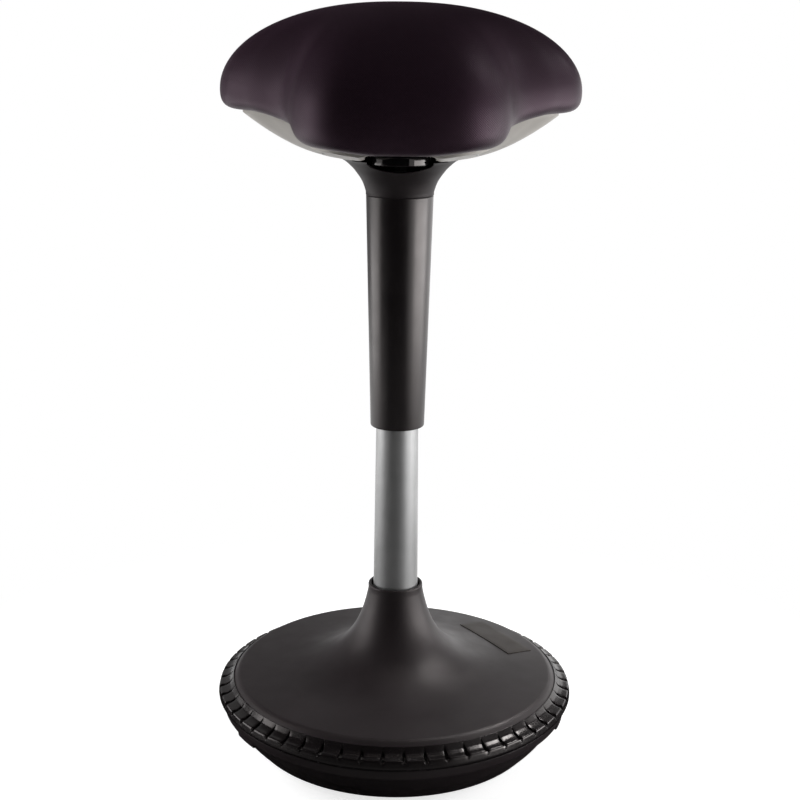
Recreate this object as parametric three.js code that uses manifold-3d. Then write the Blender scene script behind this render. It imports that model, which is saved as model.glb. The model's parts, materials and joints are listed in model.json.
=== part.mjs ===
// A wobble stool: a saddle seat on a gas lift column, over a round weighted base whose
// underside is rounded so that the stool rocks. Lengths are millimetres. The stool stands on
// Z = 0 with its column on the Z axis, the nose of the seat points to -Y, and the lift is drawn
// at the top of its travel.

import * as THREE from "three";
import { mergeVertices } from "three/addons/utils/BufferGeometryUtils.js";
import Module from "manifold-3d";

const wasm = await Module();
wasm.setup();

// Shared values
const gap = 0.3; // air between two fixed pieces that seat on each other
const overrun = 2; // how far a cutter runs past the face that it leaves through
const weldDistance = 1e-4; // corners closer than this are one corner
const fineSides = 36; // facets round the large turned pieces
const sides = 30; // facets round the pieces of the column that show
const innerSides = 18; // facets round the pieces inside it
const smallSides = 8; // facets round screws and pins

// Base pan, from the floor up. An inset is how far something lies in from the tread's radius.
const treadRadius = 204; // the outermost radius of the base
const footRadius = 45; // the flat spot in the middle that the stool stands on
const turnUpInset = 46; // where the rounded underside turns up into the wall
const rockerRise = 10.62; // height of the rounded underside there
const cornerRise = 3.2; // height of the rounding there
const cornerSpread = 5;
const rockerShares = [0.4, 0.7, 1]; // places of the underside's rings between foot and corner
const swellInset = 24; // of the wall, halfway up
const swellHeight = 31.6;
const bandInset = 6.5; // lower edge of the band under the tread
const bandBottom = 53;
const bandHeight = 11;
const bandStep = 4; // how far the wall stands back below the band
const bandTopInset = 4.5;
const panWall = 4;
const rimInset = 23; // inner edge of the pan's rim

// Base cover. A rise is a height over the top of the band.
const skirtInset = 17.8;
const plateauInset = 20.7;
const plateauRise = 25.7;
const skirtShoulderRise = 20; // where the skirt starts to round into the plateau
const coverWall = 3.2;
const collarAir = 2.35; // between the tube and the collar's bore
const collarWall = 2.6;
const collarFlare = 0.8; // how much wider the collar is at its foot
const collarHeight = 195.7;
const collarRounding = 1.4;
const collarBoreDepth = 26;
const flareStartDrop = 6.7; // from the top of the collar down to the start of the flare
const flareUpperOffset = 10; // the upper point that pulls the flare's curve, from the collar's foot
const flareUpperShare = 0.4136; // its height, as a share of the way from the flare's end up
const flareLowerOffset = 31; // the lower point
const flareLowerShare = 0.0839;
const flareEndInset = 74; // where the flare runs out in the plateau
const flareEndRise = 31.6;
const flareSteps = 8;
const flareInnerSteps = 3;
const edgeSteps = 2;

// Tread ring
const treadPitches = 55;
const treadLipRise = 4.6;
const treadRidgeInset = 13.2; // the upper ridge of the blocks
const treadRidgeRise = 16.2;
const treadShoulderInset = 3.1; // the outer ridge of the blocks
const treadShoulderRise = 13.2;
const treadInnerRise = 21.2; // where the ring meets the skirt of the cover
const treadHollowInset = 16; // the hollow between the skirt and the upper ridge
const treadHollowRise = 17.6;
const grooveDepth = 3.5;
const grooveWidth = 5.6;

// Blank plate let into the cover
const plateAzimuth = 32.5; // degrees from +X towards +Y
const plateInset = 59.5; // of its middle
const plateLength = 100;
const plateWidth = 34;
const plateThickness = 0.9;

// Ballast, hub and the posts that hold the base together
const ballastShare = 0.7405; // its radius, as a share of the radius where the underside turns up
const ballastThickness = 16;
const ballastBore = 34;
const ballastBossHeight = 10.2;
const hubPlateRadius = 85;
const hubPlateThickness = 5;
const hubPlateBore = 14;
const hubTubeDrop = 19.6; // from the foot of the collar's bore down to the top of the hub tube
const hubTubeWall = 4;
const hubBoltCircle = 62;
const hubBoltRadius = 4;
const hubBoltHeadRadius = 6.5;
const hubBoltHeadHeight = 5;
const hubBossRadius = 9;
const coverPostInset = 62;
const coverPostRadius = 6.5;
const coverScrewSeat = 4.5; // depth of the pockets for the heads, from the rounded underside
const coverScrewRadius = 2.4;
const coverScrewLength = 26;
const coverScrewHeadRadius = 4.4;
const coverScrewHeadHeight = 3;

// Column tube and what runs in it
const tubeRadiusAtCollar = 25.25;
const tubeTaper = 0.0097; // radius lost for each millimetre of height
const tubeWall = 2;
const tubeAboveSleeveEnd = 42; // how far the sleeve laps over the tube at full height
const bushLength = 80;
const bushLipHeight = 4;
const bushLipOverhang = 1.6;
const runningClearance = 0.25;
const endPlateThickness = 4;
const raceThickness = 2;
const raceRadius = 17;
const ballRadius = 2.5;
const ballRings = 5;
const ballCount = 6;
const ballCircle = 12.5;
const ballCageThickness = 2.4;
const ballCageRadius = 16;
const ballCageBore = 8;
const bumpStopRadius = 12;
const bumpStopHeight = 20;
const bumpStopAir = 2; // between the cylinder and the bump stop at the lowest height
const rodRadius = 6;
const rodTipRadius = 4.5;
const rodNeckRadius = 3.5; // in the groove of the clip
const rodClipRadius = 9;
const rodClipThickness = 1.7;
const rodTail = 4.5; // what shows of the rod below the end plate
const pistonThickness = 12;
const pistonTipRadius = 4;

// Gas lift
const liftTravel = 180;
const sleeveAir = 7.6; // between the sleeve and the collar at the lowest height
const cylinderRadius = 14;
const cylinderWall = 1.6;
const cylinderTopRadius = 13.2;
const cylinderCrown = 21; // thickness of the closed upper end
const glandHeight = 22;
const valveRadius = 5.7;
const valveLength = 29;
const valvePocketRadius = 3.6;
const valvePocketHeight = 14;
const valvePocketFloor = 6;
const valveCollarRadius = 3.1;
const valveCollarHeight = 2;
const valvePinRadius = 1.9;
const valvePinTail = 5;
const valvePinRise = 4.2; // how far the pin stands above the cylinder
const valveSpringWire = 0.45; // radius of the wire
const valveSpringTurns = 4;

// Sleeve and head
const sleeveLength = 256;
const sleeveOverTube = 4.65; // how much wider the foot of the sleeve is than the tube at the collar
const sleeveSpread = 6.4; // radius gained from its foot to its top
const sleeveWall = 3;
const sleeveRounding = 1.5;
const headHeight = 41.2;
const headRimRadius = 74;
const headRimWidth = 12;
const headWall = 3.2;
const headSpigot = 12;
const headFloorHeight = 22.5; // above the foot of the head
const headFloorThickness = 3;
const headFloorRadius = 43.5;
const windowHalfWidth = 34.6;
const windowSideHeight = 35; // over the foot of the head, at the ends of the window
const windowMiddleHeight = 27.5; // and at its middle
const windowSteps = 6;
const headPostCircle = 35;
const headPostRadius = 4.6;
const headScrewRadius = 2.2;
const headScrewHeadRadius = 4;
const headScrewHeadHeight = 3;

// Seat plate, its socket and the release lever
const socketRadius = 21;
const socketLength = 61;
const seatPlateRise = 9; // over the rim of the head
const seatPlateThickness = 3;
const seatPlateSize = 116;
const seatPlateCorner = 14;
const seatBoltInset = 18.05; // from two sides of the plate
const seatBoltRadius = 2.9;
const seatBoltHeadRadius = 5;
const seatBoltHeadHeight = 4;
const cylinderBelowRim = 9.5; // from the rim of the head down to the top of the cylinder
const leverPivot = 27; // from the column axis
const leverArmHalfWidth = 9;
const leverArmThickness = 5;
const leverArmReach = 5; // past the column axis
const leverRunning = 0.4;
const leverBossRadius = 4.8;
const leverPinRadius = 2.2;
const leverPinEnd = 1.5; // how far the pin stands out of each ear
const slotMargin = 1.5; // beside the arm, in the socket
const earThickness = 2.6;
const earHalfLength = 6;
const paddleHalfWidth = 33.2;
const paddleFrontRadius = 62; // of the convex front, about a point near the column axis
const paddleDepth = 13;
const paddleHeight = 9.4;
const paddleBelowRim = 5.6; // from the rim of the head down to the underside of the paddle
const paddleRounding = 1.6;
const paddleSteps = 10;
const paddleBackShare = 0.96; // width of the paddle's back against its front

// Seat: shell, pan, foam and cover
const seatHalfWidth = 192.4;
const noseReach = 172;
const rearReach = 152;
const seatRise = 157.5; // from the rim of the head to the crown
const wingHemRise = 46.5; // from the rim of the head to the hem of the cover
const noseHemRise = 17;
const wingEdgeRise = 21.6; // from the hem to the widest line
const noseEdgeRise = 33;
const hemInset = 25;
const crownHalfWidth = 186; // the oval that the outline fades into towards the crown
const crownHalfLength = 160;
const coverThickness = 2;
const shellWall = 3;
const shellHole = 62;
const shellHub = 77; // where the flat middle of the shell ends
const bowlPower = 1.6;
const shellNotchHalfWidth = 36.5;
const shellNotchReach = 88;
const seatPanWall = 4.5;
const bowlShares = [0.3, 0.64, 0.96, 1]; // places of its rings, from the flat middle to the hem
const seatPanRings = 3; // of them, as far as the seat pan goes
const shellScrewShare = 0.34;
const shellScrewTurns = [0.15, 0.36, 0.64, 0.85]; // shares of a turn from the nose
const shellScrewRadius = 1.9;
const shellScrewHeadRadius = 3.7;
const shellScrewHeadHeight = 2;
const shellBossRadius = 5.5;
const seatStations = 40;

// Outline of the seat from the nose round one side to the rear: share of the half width, share
// of the reach (nose reach where negative), and how far the spot belongs to the drooping nose.
const outlineShares = [
  [0, -1, 1],
  [0.37, -0.96, 1],
  [0.57, -0.76, 0.9],
  [0.67, -0.47, 0.42],
  [0.83, -0.25, 0.04],
  [0.965, -0.08, 0],
  [1, 0.13, 0],
  [0.965, 0.4, 0],
  [0.8, 0.7, 0],
  [0.45, 0.93, 0],
  [0, 1, 0],
];

// Angles, in degrees, at which the cushion's rings are taken: from the crown down to the widest
// line, and on from there to the hem.
const upperAngles = [13, 26, 39, 52, 64, 74, 82, 90];
const lowerAngles = [30, 60, 90];
const fadeShares = [0.35, 1]; // of the way from the crown to the edge, where the flutes fade in

// Outline of the head: shares of the way out from its neck to its rim, and of the way up.
const headShares = [
  [0, 0],
  [0.01, 0.105],
  [0.115, 0.36],
  [0.315, 0.62],
  [0.452, 0.752],
  [0.615, 0.876],
  [0.786, 0.95],
  [1, 1],
];

// Heights and places worked out from the sizes above
const cornerRadius = treadRadius - turnUpInset;
const rockerCentre = (cornerRadius ** 2 + rockerRise ** 2 - footRadius ** 2) / (2 * rockerRise);
const swellRadius = treadRadius - swellInset;
const bandRadius = treadRadius - bandInset;
const bandTopRadius = treadRadius - bandTopInset;
const rimInnerRadius = treadRadius - rimInset;
const skirtRadius = treadRadius - skirtInset;
const plateauRadius = treadRadius - plateauInset;
const flareEndRadius = treadRadius - flareEndInset;
const treadRidgeRadius = treadRadius - treadRidgeInset;
const treadShoulderRadius = treadRadius - treadShoulderInset;
const treadHollowRadius = treadRadius - treadHollowInset;
const plateRadius = treadRadius - plateInset;
const ballastRadius = cornerRadius * ballastShare;
const coverPostCircle = treadRadius - coverPostInset;
const collarBore = tubeRadiusAtCollar + collarAir;
const collarRadius = collarBore + collarWall;
const collarBaseRadius = collarRadius + collarFlare;
const sleeveBottomRadius = tubeRadiusAtCollar + sleeveOverTube;
const sleeveTopRadius = sleeveBottomRadius + sleeveSpread;
const headNeckRadius = sleeveTopRadius + gap;
const headRimInnerRadius = headRimRadius - headRimWidth;
const bandTop = bandBottom + bandHeight;
const plateauHeight = bandTop + plateauRise;
const skirtShoulder = bandTop + skirtShoulderRise;
const flareEndHeight = bandTop + flareEndRise;
const treadLipHeight = bandTop + treadLipRise;
const treadRidgeHeight = bandTop + treadRidgeRise;
const treadShoulderHeight = bandTop + treadShoulderRise;
const treadInnerHeight = bandTop + treadInnerRise;
const treadHollowHeight = bandTop + treadHollowRise;
const collarBoreFoot = collarHeight - collarBoreDepth;
const hubTubeTop = collarBoreFoot - hubTubeDrop;
const tubeFoot = ballastBossHeight + gap + ballastThickness + gap + hubPlateThickness + gap;
const sleeveBottom = collarHeight + sleeveAir + liftTravel;
const sleeveTop = sleeveBottom + sleeveLength;
const headRim = sleeveTop + headHeight;
const tubeTop = sleeveBottom + tubeAboveSleeveEnd;
const cylinderTop = headRim - cylinderBelowRim;
const endPlateFoot = tubeFoot;
const lowerRaceFoot = endPlateFoot + endPlateThickness + gap;
const ballHeight = lowerRaceFoot + raceThickness + gap + ballRadius;
const upperRaceFoot = ballHeight + ballRadius + gap;
const bumpStopFoot = upperRaceFoot + raceThickness + gap;
const cylinderFoot = bumpStopFoot + bumpStopHeight + bumpStopAir + liftTravel;
const glandFoot = cylinderFoot + gap;
const pistonFoot = glandFoot + glandHeight + 2 * gap;
const seatPlateFoot = headRim + seatPlateRise;
const leverHeight = cylinderTop + valvePinRise + gap + leverArmThickness / 2;
const shellFoot = headRim + gap;
const panFoot = seatPlateFoot + seatPlateThickness + gap;
const crownHeight = headRim + seatRise;
const shellEdgeAir = gap; // between the rim of the shell and the hem of the cover
const valveFoot = cylinderTop - valveLength;
const valvePocketFoot = valveFoot + valvePocketFloor;
const valveCollarTop = valvePocketFoot + valvePocketHeight - gap;
const ballastFoot = ballastBossHeight + gap;
const hubPlateFoot = ballastFoot + ballastThickness + gap;

const tubeRadiusAt = (height) => tubeRadiusAtCollar + (collarHeight - height) * tubeTaper;
const sleeveTaper = (sleeveTopRadius - sleeveBottomRadius) / sleeveLength;
const sleeveInnerAt = (height) => sleeveTopRadius - (sleeveTop - height) * sleeveTaper - sleeveWall;
const radians = THREE.MathUtils.degToRad;

// Finishes
const finish = (color, roughness, metalness) =>
  new THREE.MeshStandardMaterial({ color, roughness, metalness });
const blackPlastic = finish(0x2b2729, 0.55, 0);
const rubber = finish(0x1d1c1d, 0.8, 0);
const castIron = finish(0x4a4a4c, 0.7, 0.8);
const steel = finish(0xa9abad, 0.35, 1);
const silverPaint = finish(0xa5a6a8, 0.35, 0.7);
const glossBlack = finish(0x0b0a0b, 0.12, 0);
const guidePlastic = finish(0x161617, 0.5, 0);
const shellPlastic = finish(0xa9a49c, 0.5, 0);
const fabric = finish(0x1e151c, 0.95, 0);
const foam = finish(0x5b5650, 1, 0);
const bareBlack = finish(0x3a3836, 0.5, 0);

// Geometry helpers

// A closed geometry as a solid that can be joined and cut.
function solidOf(geometry) {
  const bare = geometry.index ? geometry.toNonIndexed() : geometry.clone();
  bare.deleteAttribute("normal");
  bare.deleteAttribute("uv");
  const merged = mergeVertices(bare, weldDistance);
  return new wasm.Manifold(
    new wasm.Mesh({
      numProp: 3,
      vertProperties: merged.attributes.position.array,
      triVerts: new Uint32Array(merged.index.array),
    }),
  );
}

function geometryOf(solid) {
  const mesh = solid.getMesh();
  const geometry = new THREE.BufferGeometry();
  geometry.setAttribute("position", new THREE.BufferAttribute(mesh.vertProperties, 3));
  geometry.setIndex(new THREE.BufferAttribute(mesh.triVerts, 1));
  geometry.computeVertexNormals();
  return geometry;
}

const join = (first, ...others) =>
  geometryOf(others.reduce((sum, other) => sum.add(solidOf(other)), solidOf(first)));
const cut = (first, ...others) =>
  geometryOf(others.reduce((rest, other) => rest.subtract(solidOf(other)), solidOf(first)));
const common = (first, second) => geometryOf(solidOf(first).intersect(solidOf(second)));

// An outline of [radius, height] pairs moved square to itself, to its left, by a depth.
function inward(outline, depth) {
  return outline.map(([radius, height], i) => {
    const before = outline[Math.max(i - 1, 0)];
    const after = outline[Math.min(i + 1, outline.length - 1)];
    const along = new THREE.Vector2(after[0] - before[0], after[1] - before[1]).normalize();
    return [radius - along.y * depth, height + along.x * depth];
  });
}

// A turned piece round the Z axis. The outline is a list of [radius, height] that runs
// anticlockwise, with the radius to the right, and starts and ends on the axis or closes.
function turned(outline, facets) {
  const points = outline.map(([radius, height]) => new THREE.Vector2(radius, height));
  return new THREE.LatheGeometry(points, facets).rotateX(Math.PI / 2);
}

// A turned ring or tube between two outlines that run side by side.
function tube(outer, inner, facets) {
  return turned([...outer, ...inner.slice().reverse(), outer[0]], facets);
}

function straightTube(outerRadius, innerRadius, foot, height, facets) {
  return tube(
    [
      [outerRadius, foot],
      [outerRadius, foot + height],
    ],
    [
      [innerRadius, foot],
      [innerRadius, foot + height],
    ],
    facets,
  );
}

function disc(radius, foot, height, facets) {
  return turned(
    [
      [0, foot],
      [radius, foot],
      [radius, foot + height],
      [0, foot + height],
    ],
    facets,
  );
}

// A block between two corners.
function block(low, high) {
  const size = high.map((value, axis) => value - low[axis]);
  const middle = high.map((value, axis) => (value + low[axis]) / 2);
  return new THREE.BoxGeometry(...size).translate(...middle);
}

// Upright round bodies of one size at each of the places: posts, or the cutters of holes.
function rounds(places, radius, foot, height) {
  return places.map(([x, y]) => disc(radius, foot, height, smallSides).translate(x, y, 0));
}

// Cutters for holes at each of the places, right through a plate.
function holesThrough(places, radius, foot, thickness) {
  return rounds(places, radius + gap, foot - overrun, thickness + 2 * overrun);
}

// A screw along Z: a head under a shank that points up.
function screw(headRadius, headHeight, shankRadius, shankLength) {
  return turned(
    [
      [0, 0],
      [headRadius, 0],
      [headRadius, headHeight],
      [shankRadius, headHeight],
      [shankRadius, headHeight + shankLength],
      [0, headHeight + shankLength],
    ],
    smallSides,
  );
}

// Places at even angles on a circle about the Z axis.
function onCircle(count, radius, firstDegrees) {
  return Array.from({ length: count }, (_, i) => {
    const angle = radians(firstDegrees) + (i * 2 * Math.PI) / count;
    return [radius * Math.cos(angle), radius * Math.sin(angle)];
  });
}

// A point at an angle about the Z axis.
const onRay = (angle, radius, height) =>
  new THREE.Vector3(radius * Math.cos(angle), radius * Math.sin(angle), height);

// Points of a curve as [radius, height] pairs.
const curvePoints = (curve, steps) => curve.getPoints(steps).map((p) => [p.x, p.y]);

// A closed skin over rings of points, each joined to the next. A first or last ring of one
// point closes that end, and without such ends the last ring is joined to the first. A four-sided
// patch is folded along its higher diagonal, or along its shorter one where they are level, so that
// two skins that lie one over the other fold alike and keep apart.
function skin(rings) {
  const positions = [];
  const starts = rings.map((ring) => {
    const start = positions.length / 3;
    ring.forEach((p) => positions.push(p.x, p.y, p.z));
    return start;
  });
  const index = [];
  const around = Math.max(...rings.map((ring) => ring.length));
  const closed = rings[0].length > 1;
  const last = closed ? rings.length : rings.length - 1;
  for (let i = 0; i < last; i++) {
    const j = (i + 1) % rings.length;
    for (let k = 0; k < around; k++) {
      const next = (k + 1) % around;
      const a = starts[i] + (rings[i].length > 1 ? k : 0);
      const b = starts[i] + (rings[i].length > 1 ? next : 0);
      const c = starts[j] + (rings[j].length > 1 ? next : 0);
      const d = starts[j] + (rings[j].length > 1 ? k : 0);
      const [p, q, r, s] = [a, b, c, d].map((corner) => {
        return new THREE.Vector3().fromArray(positions, 3 * corner);
      });
      const rise = p.z + r.z - q.z - s.z;
      const level = Math.abs(rise) < weldDistance;
      const folds = level ? p.distanceTo(r) < q.distanceTo(s) : rise > 0;
      if (a === b) index.push(a, c, d);
      else if (c === d) index.push(a, b, c);
      else if (folds) index.push(a, b, c, a, c, d);
      else index.push(a, b, d, b, c, d);
    }
  }
  const geometry = new THREE.BufferGeometry();
  geometry.setAttribute("position", new THREE.Float32BufferAttribute(positions, 3));
  geometry.setIndex(index);
  geometry.computeVertexNormals();
  return geometry;
}

function piece(parent, name, geometry, material) {
  const mesh = new THREE.Mesh(geometry, material);
  mesh.name = name;
  parent.add(mesh);
  return mesh;
}

// Base pan

// Height of the rounded underside at a radius. The foot is cut flat.
const rockerHeight = (radius) =>
  rockerCentre - Math.sqrt(rockerCentre ** 2 + footRadius ** 2 - radius ** 2);

// The spots of the four hub bolts and of the four screws that hold the cover.
const hubBoltPlaces = onCircle(4, hubBoltCircle, 0);
const coverPostPlaces = onCircle(4, coverPostCircle, 45);
const coverScrewCeiling = rockerHeight(coverPostCircle) + coverScrewSeat;
const panPostTop = coverScrewCeiling + panWall;

function basePan() {
  const cap = rockerShares.map((share) => {
    const radius = THREE.MathUtils.lerp(footRadius, cornerRadius, share);
    return [radius, rockerHeight(radius)];
  });
  const innerCap = cap.slice(1).reverse();
  const corner = [cornerRadius + cornerSpread, rockerHeight(cornerRadius) + cornerRise];
  const wallTop = bandRadius - bandStep;
  const shell = turned(
    [
      [0, 0],
      [footRadius, 0],
      ...cap,
      corner,
      [swellRadius, swellHeight],
      [wallTop, bandBottom],
      [bandRadius, bandBottom],
      [bandTopRadius, bandTop],
      [rimInnerRadius, bandTop],
      [rimInnerRadius, bandTop - panWall],
      [wallTop - panWall, bandTop - panWall],
      [wallTop - panWall, bandBottom],
      [swellRadius - panWall, swellHeight + panWall / 2],
      [corner[0] - cornerSpread, corner[1] + panWall / 2],
      ...innerCap.map(([radius, height]) => [radius - cornerSpread, height + panWall]),
      [0, panWall],
    ],
    fineSides,
  );
  const bossFoot = panWall / 2;
  const bosses = rounds(hubBoltPlaces, hubBossRadius, bossFoot, ballastBossHeight - bossFoot);
  const boltHoles = rounds(hubBoltPlaces, hubBoltRadius + gap, panWall + gap, ballastBossHeight);
  const postFoot = panPostTop - coverScrewSeat - panWall / 2;
  const posts = rounds(coverPostPlaces, coverPostRadius, postFoot, panPostTop - postFoot);
  const pocketDepth = overrun + coverScrewCeiling;
  const pockets = rounds(coverPostPlaces, coverScrewHeadRadius + gap, -overrun, pocketDepth);
  const screwHoles = rounds(coverPostPlaces, coverScrewRadius + gap, -overrun, bandTop);
  return cut(join(shell, ...bosses, ...posts), ...boltHoles, ...pockets, ...screwHoles);
}

// Base cover

// The cover's outline from the foot of its skirt up to the collar.
function coverOutline(steps) {
  const edge = new THREE.QuadraticBezierCurve(
    new THREE.Vector2(skirtRadius, skirtShoulder),
    new THREE.Vector2(skirtRadius - gap, plateauHeight - gap),
    new THREE.Vector2(plateauRadius - cornerSpread, plateauHeight + gap),
  );
  const flareHeight = (share) => THREE.MathUtils.lerp(flareEndHeight, collarHeight, share);
  const flare = new THREE.CubicBezierCurve(
    new THREE.Vector2(flareEndRadius, flareEndHeight),
    new THREE.Vector2(collarBaseRadius + flareLowerOffset, flareHeight(flareLowerShare)),
    new THREE.Vector2(collarBaseRadius + flareUpperOffset, flareHeight(flareUpperShare)),
    new THREE.Vector2(collarBaseRadius, collarHeight - flareStartDrop),
  );
  return [
    [skirtRadius, bandTop + gap],
    ...curvePoints(edge, edgeSteps),
    ...curvePoints(flare, steps),
  ];
}

// Height of the cover's upper face at the radius of its posts, less half the wall.
function coverPostTop() {
  const share = (plateauRadius - coverPostCircle) / (plateauRadius - flareEndRadius);
  return THREE.MathUtils.lerp(plateauHeight, flareEndHeight, share) - coverWall / 2;
}

const coverScrewFoot = coverScrewCeiling - gap - coverScrewHeadHeight;

function baseCover() {
  const inner = inward(coverOutline(flareInnerSteps), coverWall);
  const wall = inner.filter(([radius, height]) => height < collarBoreFoot && radius > collarBore);
  wall[0] = [skirtRadius - coverWall, bandTop + gap];
  const shell = turned(
    [
      ...coverOutline(flareSteps),
      [collarRadius, collarHeight - collarRounding],
      [collarRadius - collarRounding, collarHeight],
      [collarBore, collarHeight],
      [collarBore, collarBoreFoot],
      ...wall.reverse(),
      [skirtRadius, bandTop + gap],
    ],
    fineSides,
  );
  const postFoot = panPostTop + gap;
  const posts = rounds(coverPostPlaces, coverPostRadius, postFoot, coverPostTop() - postFoot);
  const holeTop = coverScrewCeiling - gap + coverScrewLength + overrun;
  const holes = rounds(coverPostPlaces, coverScrewRadius + gap, 0, holeTop);
  return cut(join(shell, ...posts), platePocket(), ...holes);
}

// A slab under the cover's face, between two depths, within the plate's outline.
function plateSlab(upperDepth, lowerDepth, margin) {
  const outline = coverOutline(flareSteps).slice(1 + edgeSteps);
  const shell = tube(
    outline.map(([radius, height]) => [radius, height - upperDepth]),
    outline.map(([radius, height]) => [radius, height - lowerDepth]),
    fineSides,
  );
  const halfWidth = plateWidth / 2 + margin;
  const halfLength = plateLength / 2 + margin;
  const prism = block(
    [plateRadius - halfWidth, -halfLength, bandTop],
    [plateRadius + halfWidth, halfLength, collarHeight],
  );
  return common(prism.rotateZ(radians(plateAzimuth)), shell);
}

const platePocket = () => plateSlab(-overrun, plateThickness + gap, gap);
const blankPlate = () => plateSlab(0, plateThickness, 0);

// Tread ring

// The ring's section: radius, height, and the groove's width and depth there.
const treadSection = [
  { radius: skirtRadius + gap, height: bandTop + gap, widthShare: 0.1, depthShare: 0 },
  { radius: skirtRadius + gap, height: treadInnerHeight, widthShare: 0.1, depthShare: 0 },
  { radius: treadHollowRadius, height: treadHollowHeight, widthShare: 0.35, depthShare: 0.3 },
  { radius: treadRidgeRadius, height: treadRidgeHeight, widthShare: 0.75, depthShare: 1 },
  { radius: treadShoulderRadius, height: treadShoulderHeight, widthShare: 1, depthShare: 1 },
  { radius: treadRadius, height: treadLipHeight, widthShare: 0.1, depthShare: 0 },
  { radius: bandTopRadius + gap, height: bandTop + gap, widthShare: 0.1, depthShare: 0 },
];

function treadRing() {
  const outline = treadSection.map(({ radius, height }) => [radius, height]);
  const floors = treadSection.map(({ depthShare }, i) => {
    return inward(outline, -grooveDepth * depthShare)[i];
  });
  const rings = treadSection.map(({ radius, height, widthShare }, i) => {
    const half = (grooveWidth * widthShare) / 2 / radius;
    return Array.from({ length: treadPitches }, (_, pitch) => {
      const middle = (2 * Math.PI * (pitch + 0.5)) / treadPitches - Math.PI / 2;
      return [
        onRay(middle - half, radius, height),
        onRay(middle, ...floors[i]),
        onRay(middle + half, radius, height),
      ];
    }).flat();
  });
  return skin(rings.reverse());
}

// Ballast and hub

function ballastDisc() {
  const ring = straightTube(ballastRadius, ballastBore, ballastFoot, ballastThickness, fineSides);
  return cut(ring, ...holesThrough(hubBoltPlaces, hubBoltRadius, ballastFoot, ballastThickness));
}

function hubPlate() {
  const thickness = hubPlateThickness;
  const ring = straightTube(hubPlateRadius, hubPlateBore, hubPlateFoot, thickness, innerSides);
  return cut(ring, ...holesThrough(hubBoltPlaces, hubBoltRadius, hubPlateFoot, thickness));
}

function hubTube() {
  const bore = tubeRadiusAt(tubeFoot) + gap;
  return straightTube(bore + hubTubeWall, bore, tubeFoot, hubTubeTop - tubeFoot, sides);
}

// Column

function columnTube() {
  const ends = [tubeFoot, tubeTop];
  return tube(
    ends.map((height) => [tubeRadiusAt(height), height]),
    ends.map((height) => [tubeRadiusAt(height) - tubeWall, height]),
    sides,
  );
}

function columnBush() {
  const outerAt = (height) => tubeRadiusAt(height) - tubeWall - gap;
  const foot = tubeTop - bushLength;
  const lip = tubeRadiusAt(tubeTop) - tubeWall + bushLipOverhang;
  const bore = cylinderRadius + runningClearance;
  return tube(
    [
      [outerAt(foot), foot],
      [outerAt(tubeTop), tubeTop + gap],
      [lip, tubeTop + gap],
      [lip, tubeTop + gap + bushLipHeight],
    ],
    [
      [bore, foot],
      [bore, tubeTop + gap + bushLipHeight],
    ],
    innerSides,
  );
}

function endPlate() {
  const radius = tubeRadiusAt(endPlateFoot + endPlateThickness) - tubeWall - gap;
  return straightTube(radius, rodTipRadius + gap, endPlateFoot, endPlateThickness, innerSides);
}

const race = (foot) =>
  straightTube(raceRadius, rodTipRadius + gap, foot, raceThickness, innerSides);

const ballPlaces = onCircle(ballCount, ballCircle, 0);

function ballCage() {
  const foot = ballHeight - ballCageThickness / 2;
  const ring = straightTube(ballCageRadius, ballCageBore, foot, ballCageThickness, innerSides);
  return cut(ring, ...holesThrough(ballPlaces, ballRadius, foot, ballCageThickness));
}

const bumpStop = () =>
  straightTube(bumpStopRadius, rodRadius + gap, bumpStopFoot, bumpStopHeight, innerSides);

function pistonRod() {
  const foot = endPlateFoot - rodTail;
  const grooveTop = endPlateFoot;
  const grooveFoot = grooveTop - rodClipThickness - 2 * gap;
  return turned(
    [
      [0, foot],
      [rodTipRadius, foot],
      [rodTipRadius, grooveFoot],
      [rodNeckRadius, grooveFoot],
      [rodNeckRadius, grooveTop],
      [rodTipRadius, grooveTop],
      [rodTipRadius, bumpStopFoot],
      [rodRadius, bumpStopFoot],
      [rodRadius, pistonFoot - gap],
      [pistonTipRadius, pistonFoot - gap],
      [pistonTipRadius, pistonFoot + pistonThickness + gap],
      [0, pistonFoot + pistonThickness + gap],
    ],
    innerSides / 2,
  );
}

function rodClip() {
  const foot = endPlateFoot - gap - rodClipThickness;
  return straightTube(rodClipRadius, rodNeckRadius + gap, foot, rodClipThickness, innerSides);
}

function piston() {
  const radius = cylinderRadius - cylinderWall - gap;
  return straightTube(radius, pistonTipRadius + gap, pistonFoot, pistonThickness, innerSides);
}

// Gas cylinder

function gasCylinder() {
  const bore = cylinderRadius - cylinderWall;
  const taperFoot = seatPlateFoot - gap - socketLength;
  const crownFoot = cylinderTop - cylinderCrown;
  return tube(
    [
      [cylinderRadius, cylinderFoot],
      [cylinderRadius, taperFoot],
      [cylinderTopRadius, cylinderTop],
    ],
    [
      [bore, cylinderFoot],
      [bore, crownFoot],
      [valveRadius + gap, crownFoot],
      [valveRadius + gap, cylinderTop],
    ],
    innerSides,
  );
}

function cylinderGland() {
  const radius = cylinderRadius - cylinderWall - gap;
  return straightTube(radius, rodRadius + gap, glandFoot, glandHeight, innerSides);
}

function valveBody() {
  const bore = valvePinRadius + gap;
  const pocketTop = valvePocketFoot + valvePocketHeight;
  return tube(
    [
      [valveRadius, valveFoot],
      [valveRadius, cylinderTop - gap],
    ],
    [
      [bore, valveFoot],
      [bore, valvePocketFoot],
      [valvePocketRadius, valvePocketFoot],
      [valvePocketRadius, pocketTop],
      [bore, pocketTop],
      [bore, cylinderTop - gap],
    ],
    innerSides / 2,
  );
}

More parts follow.
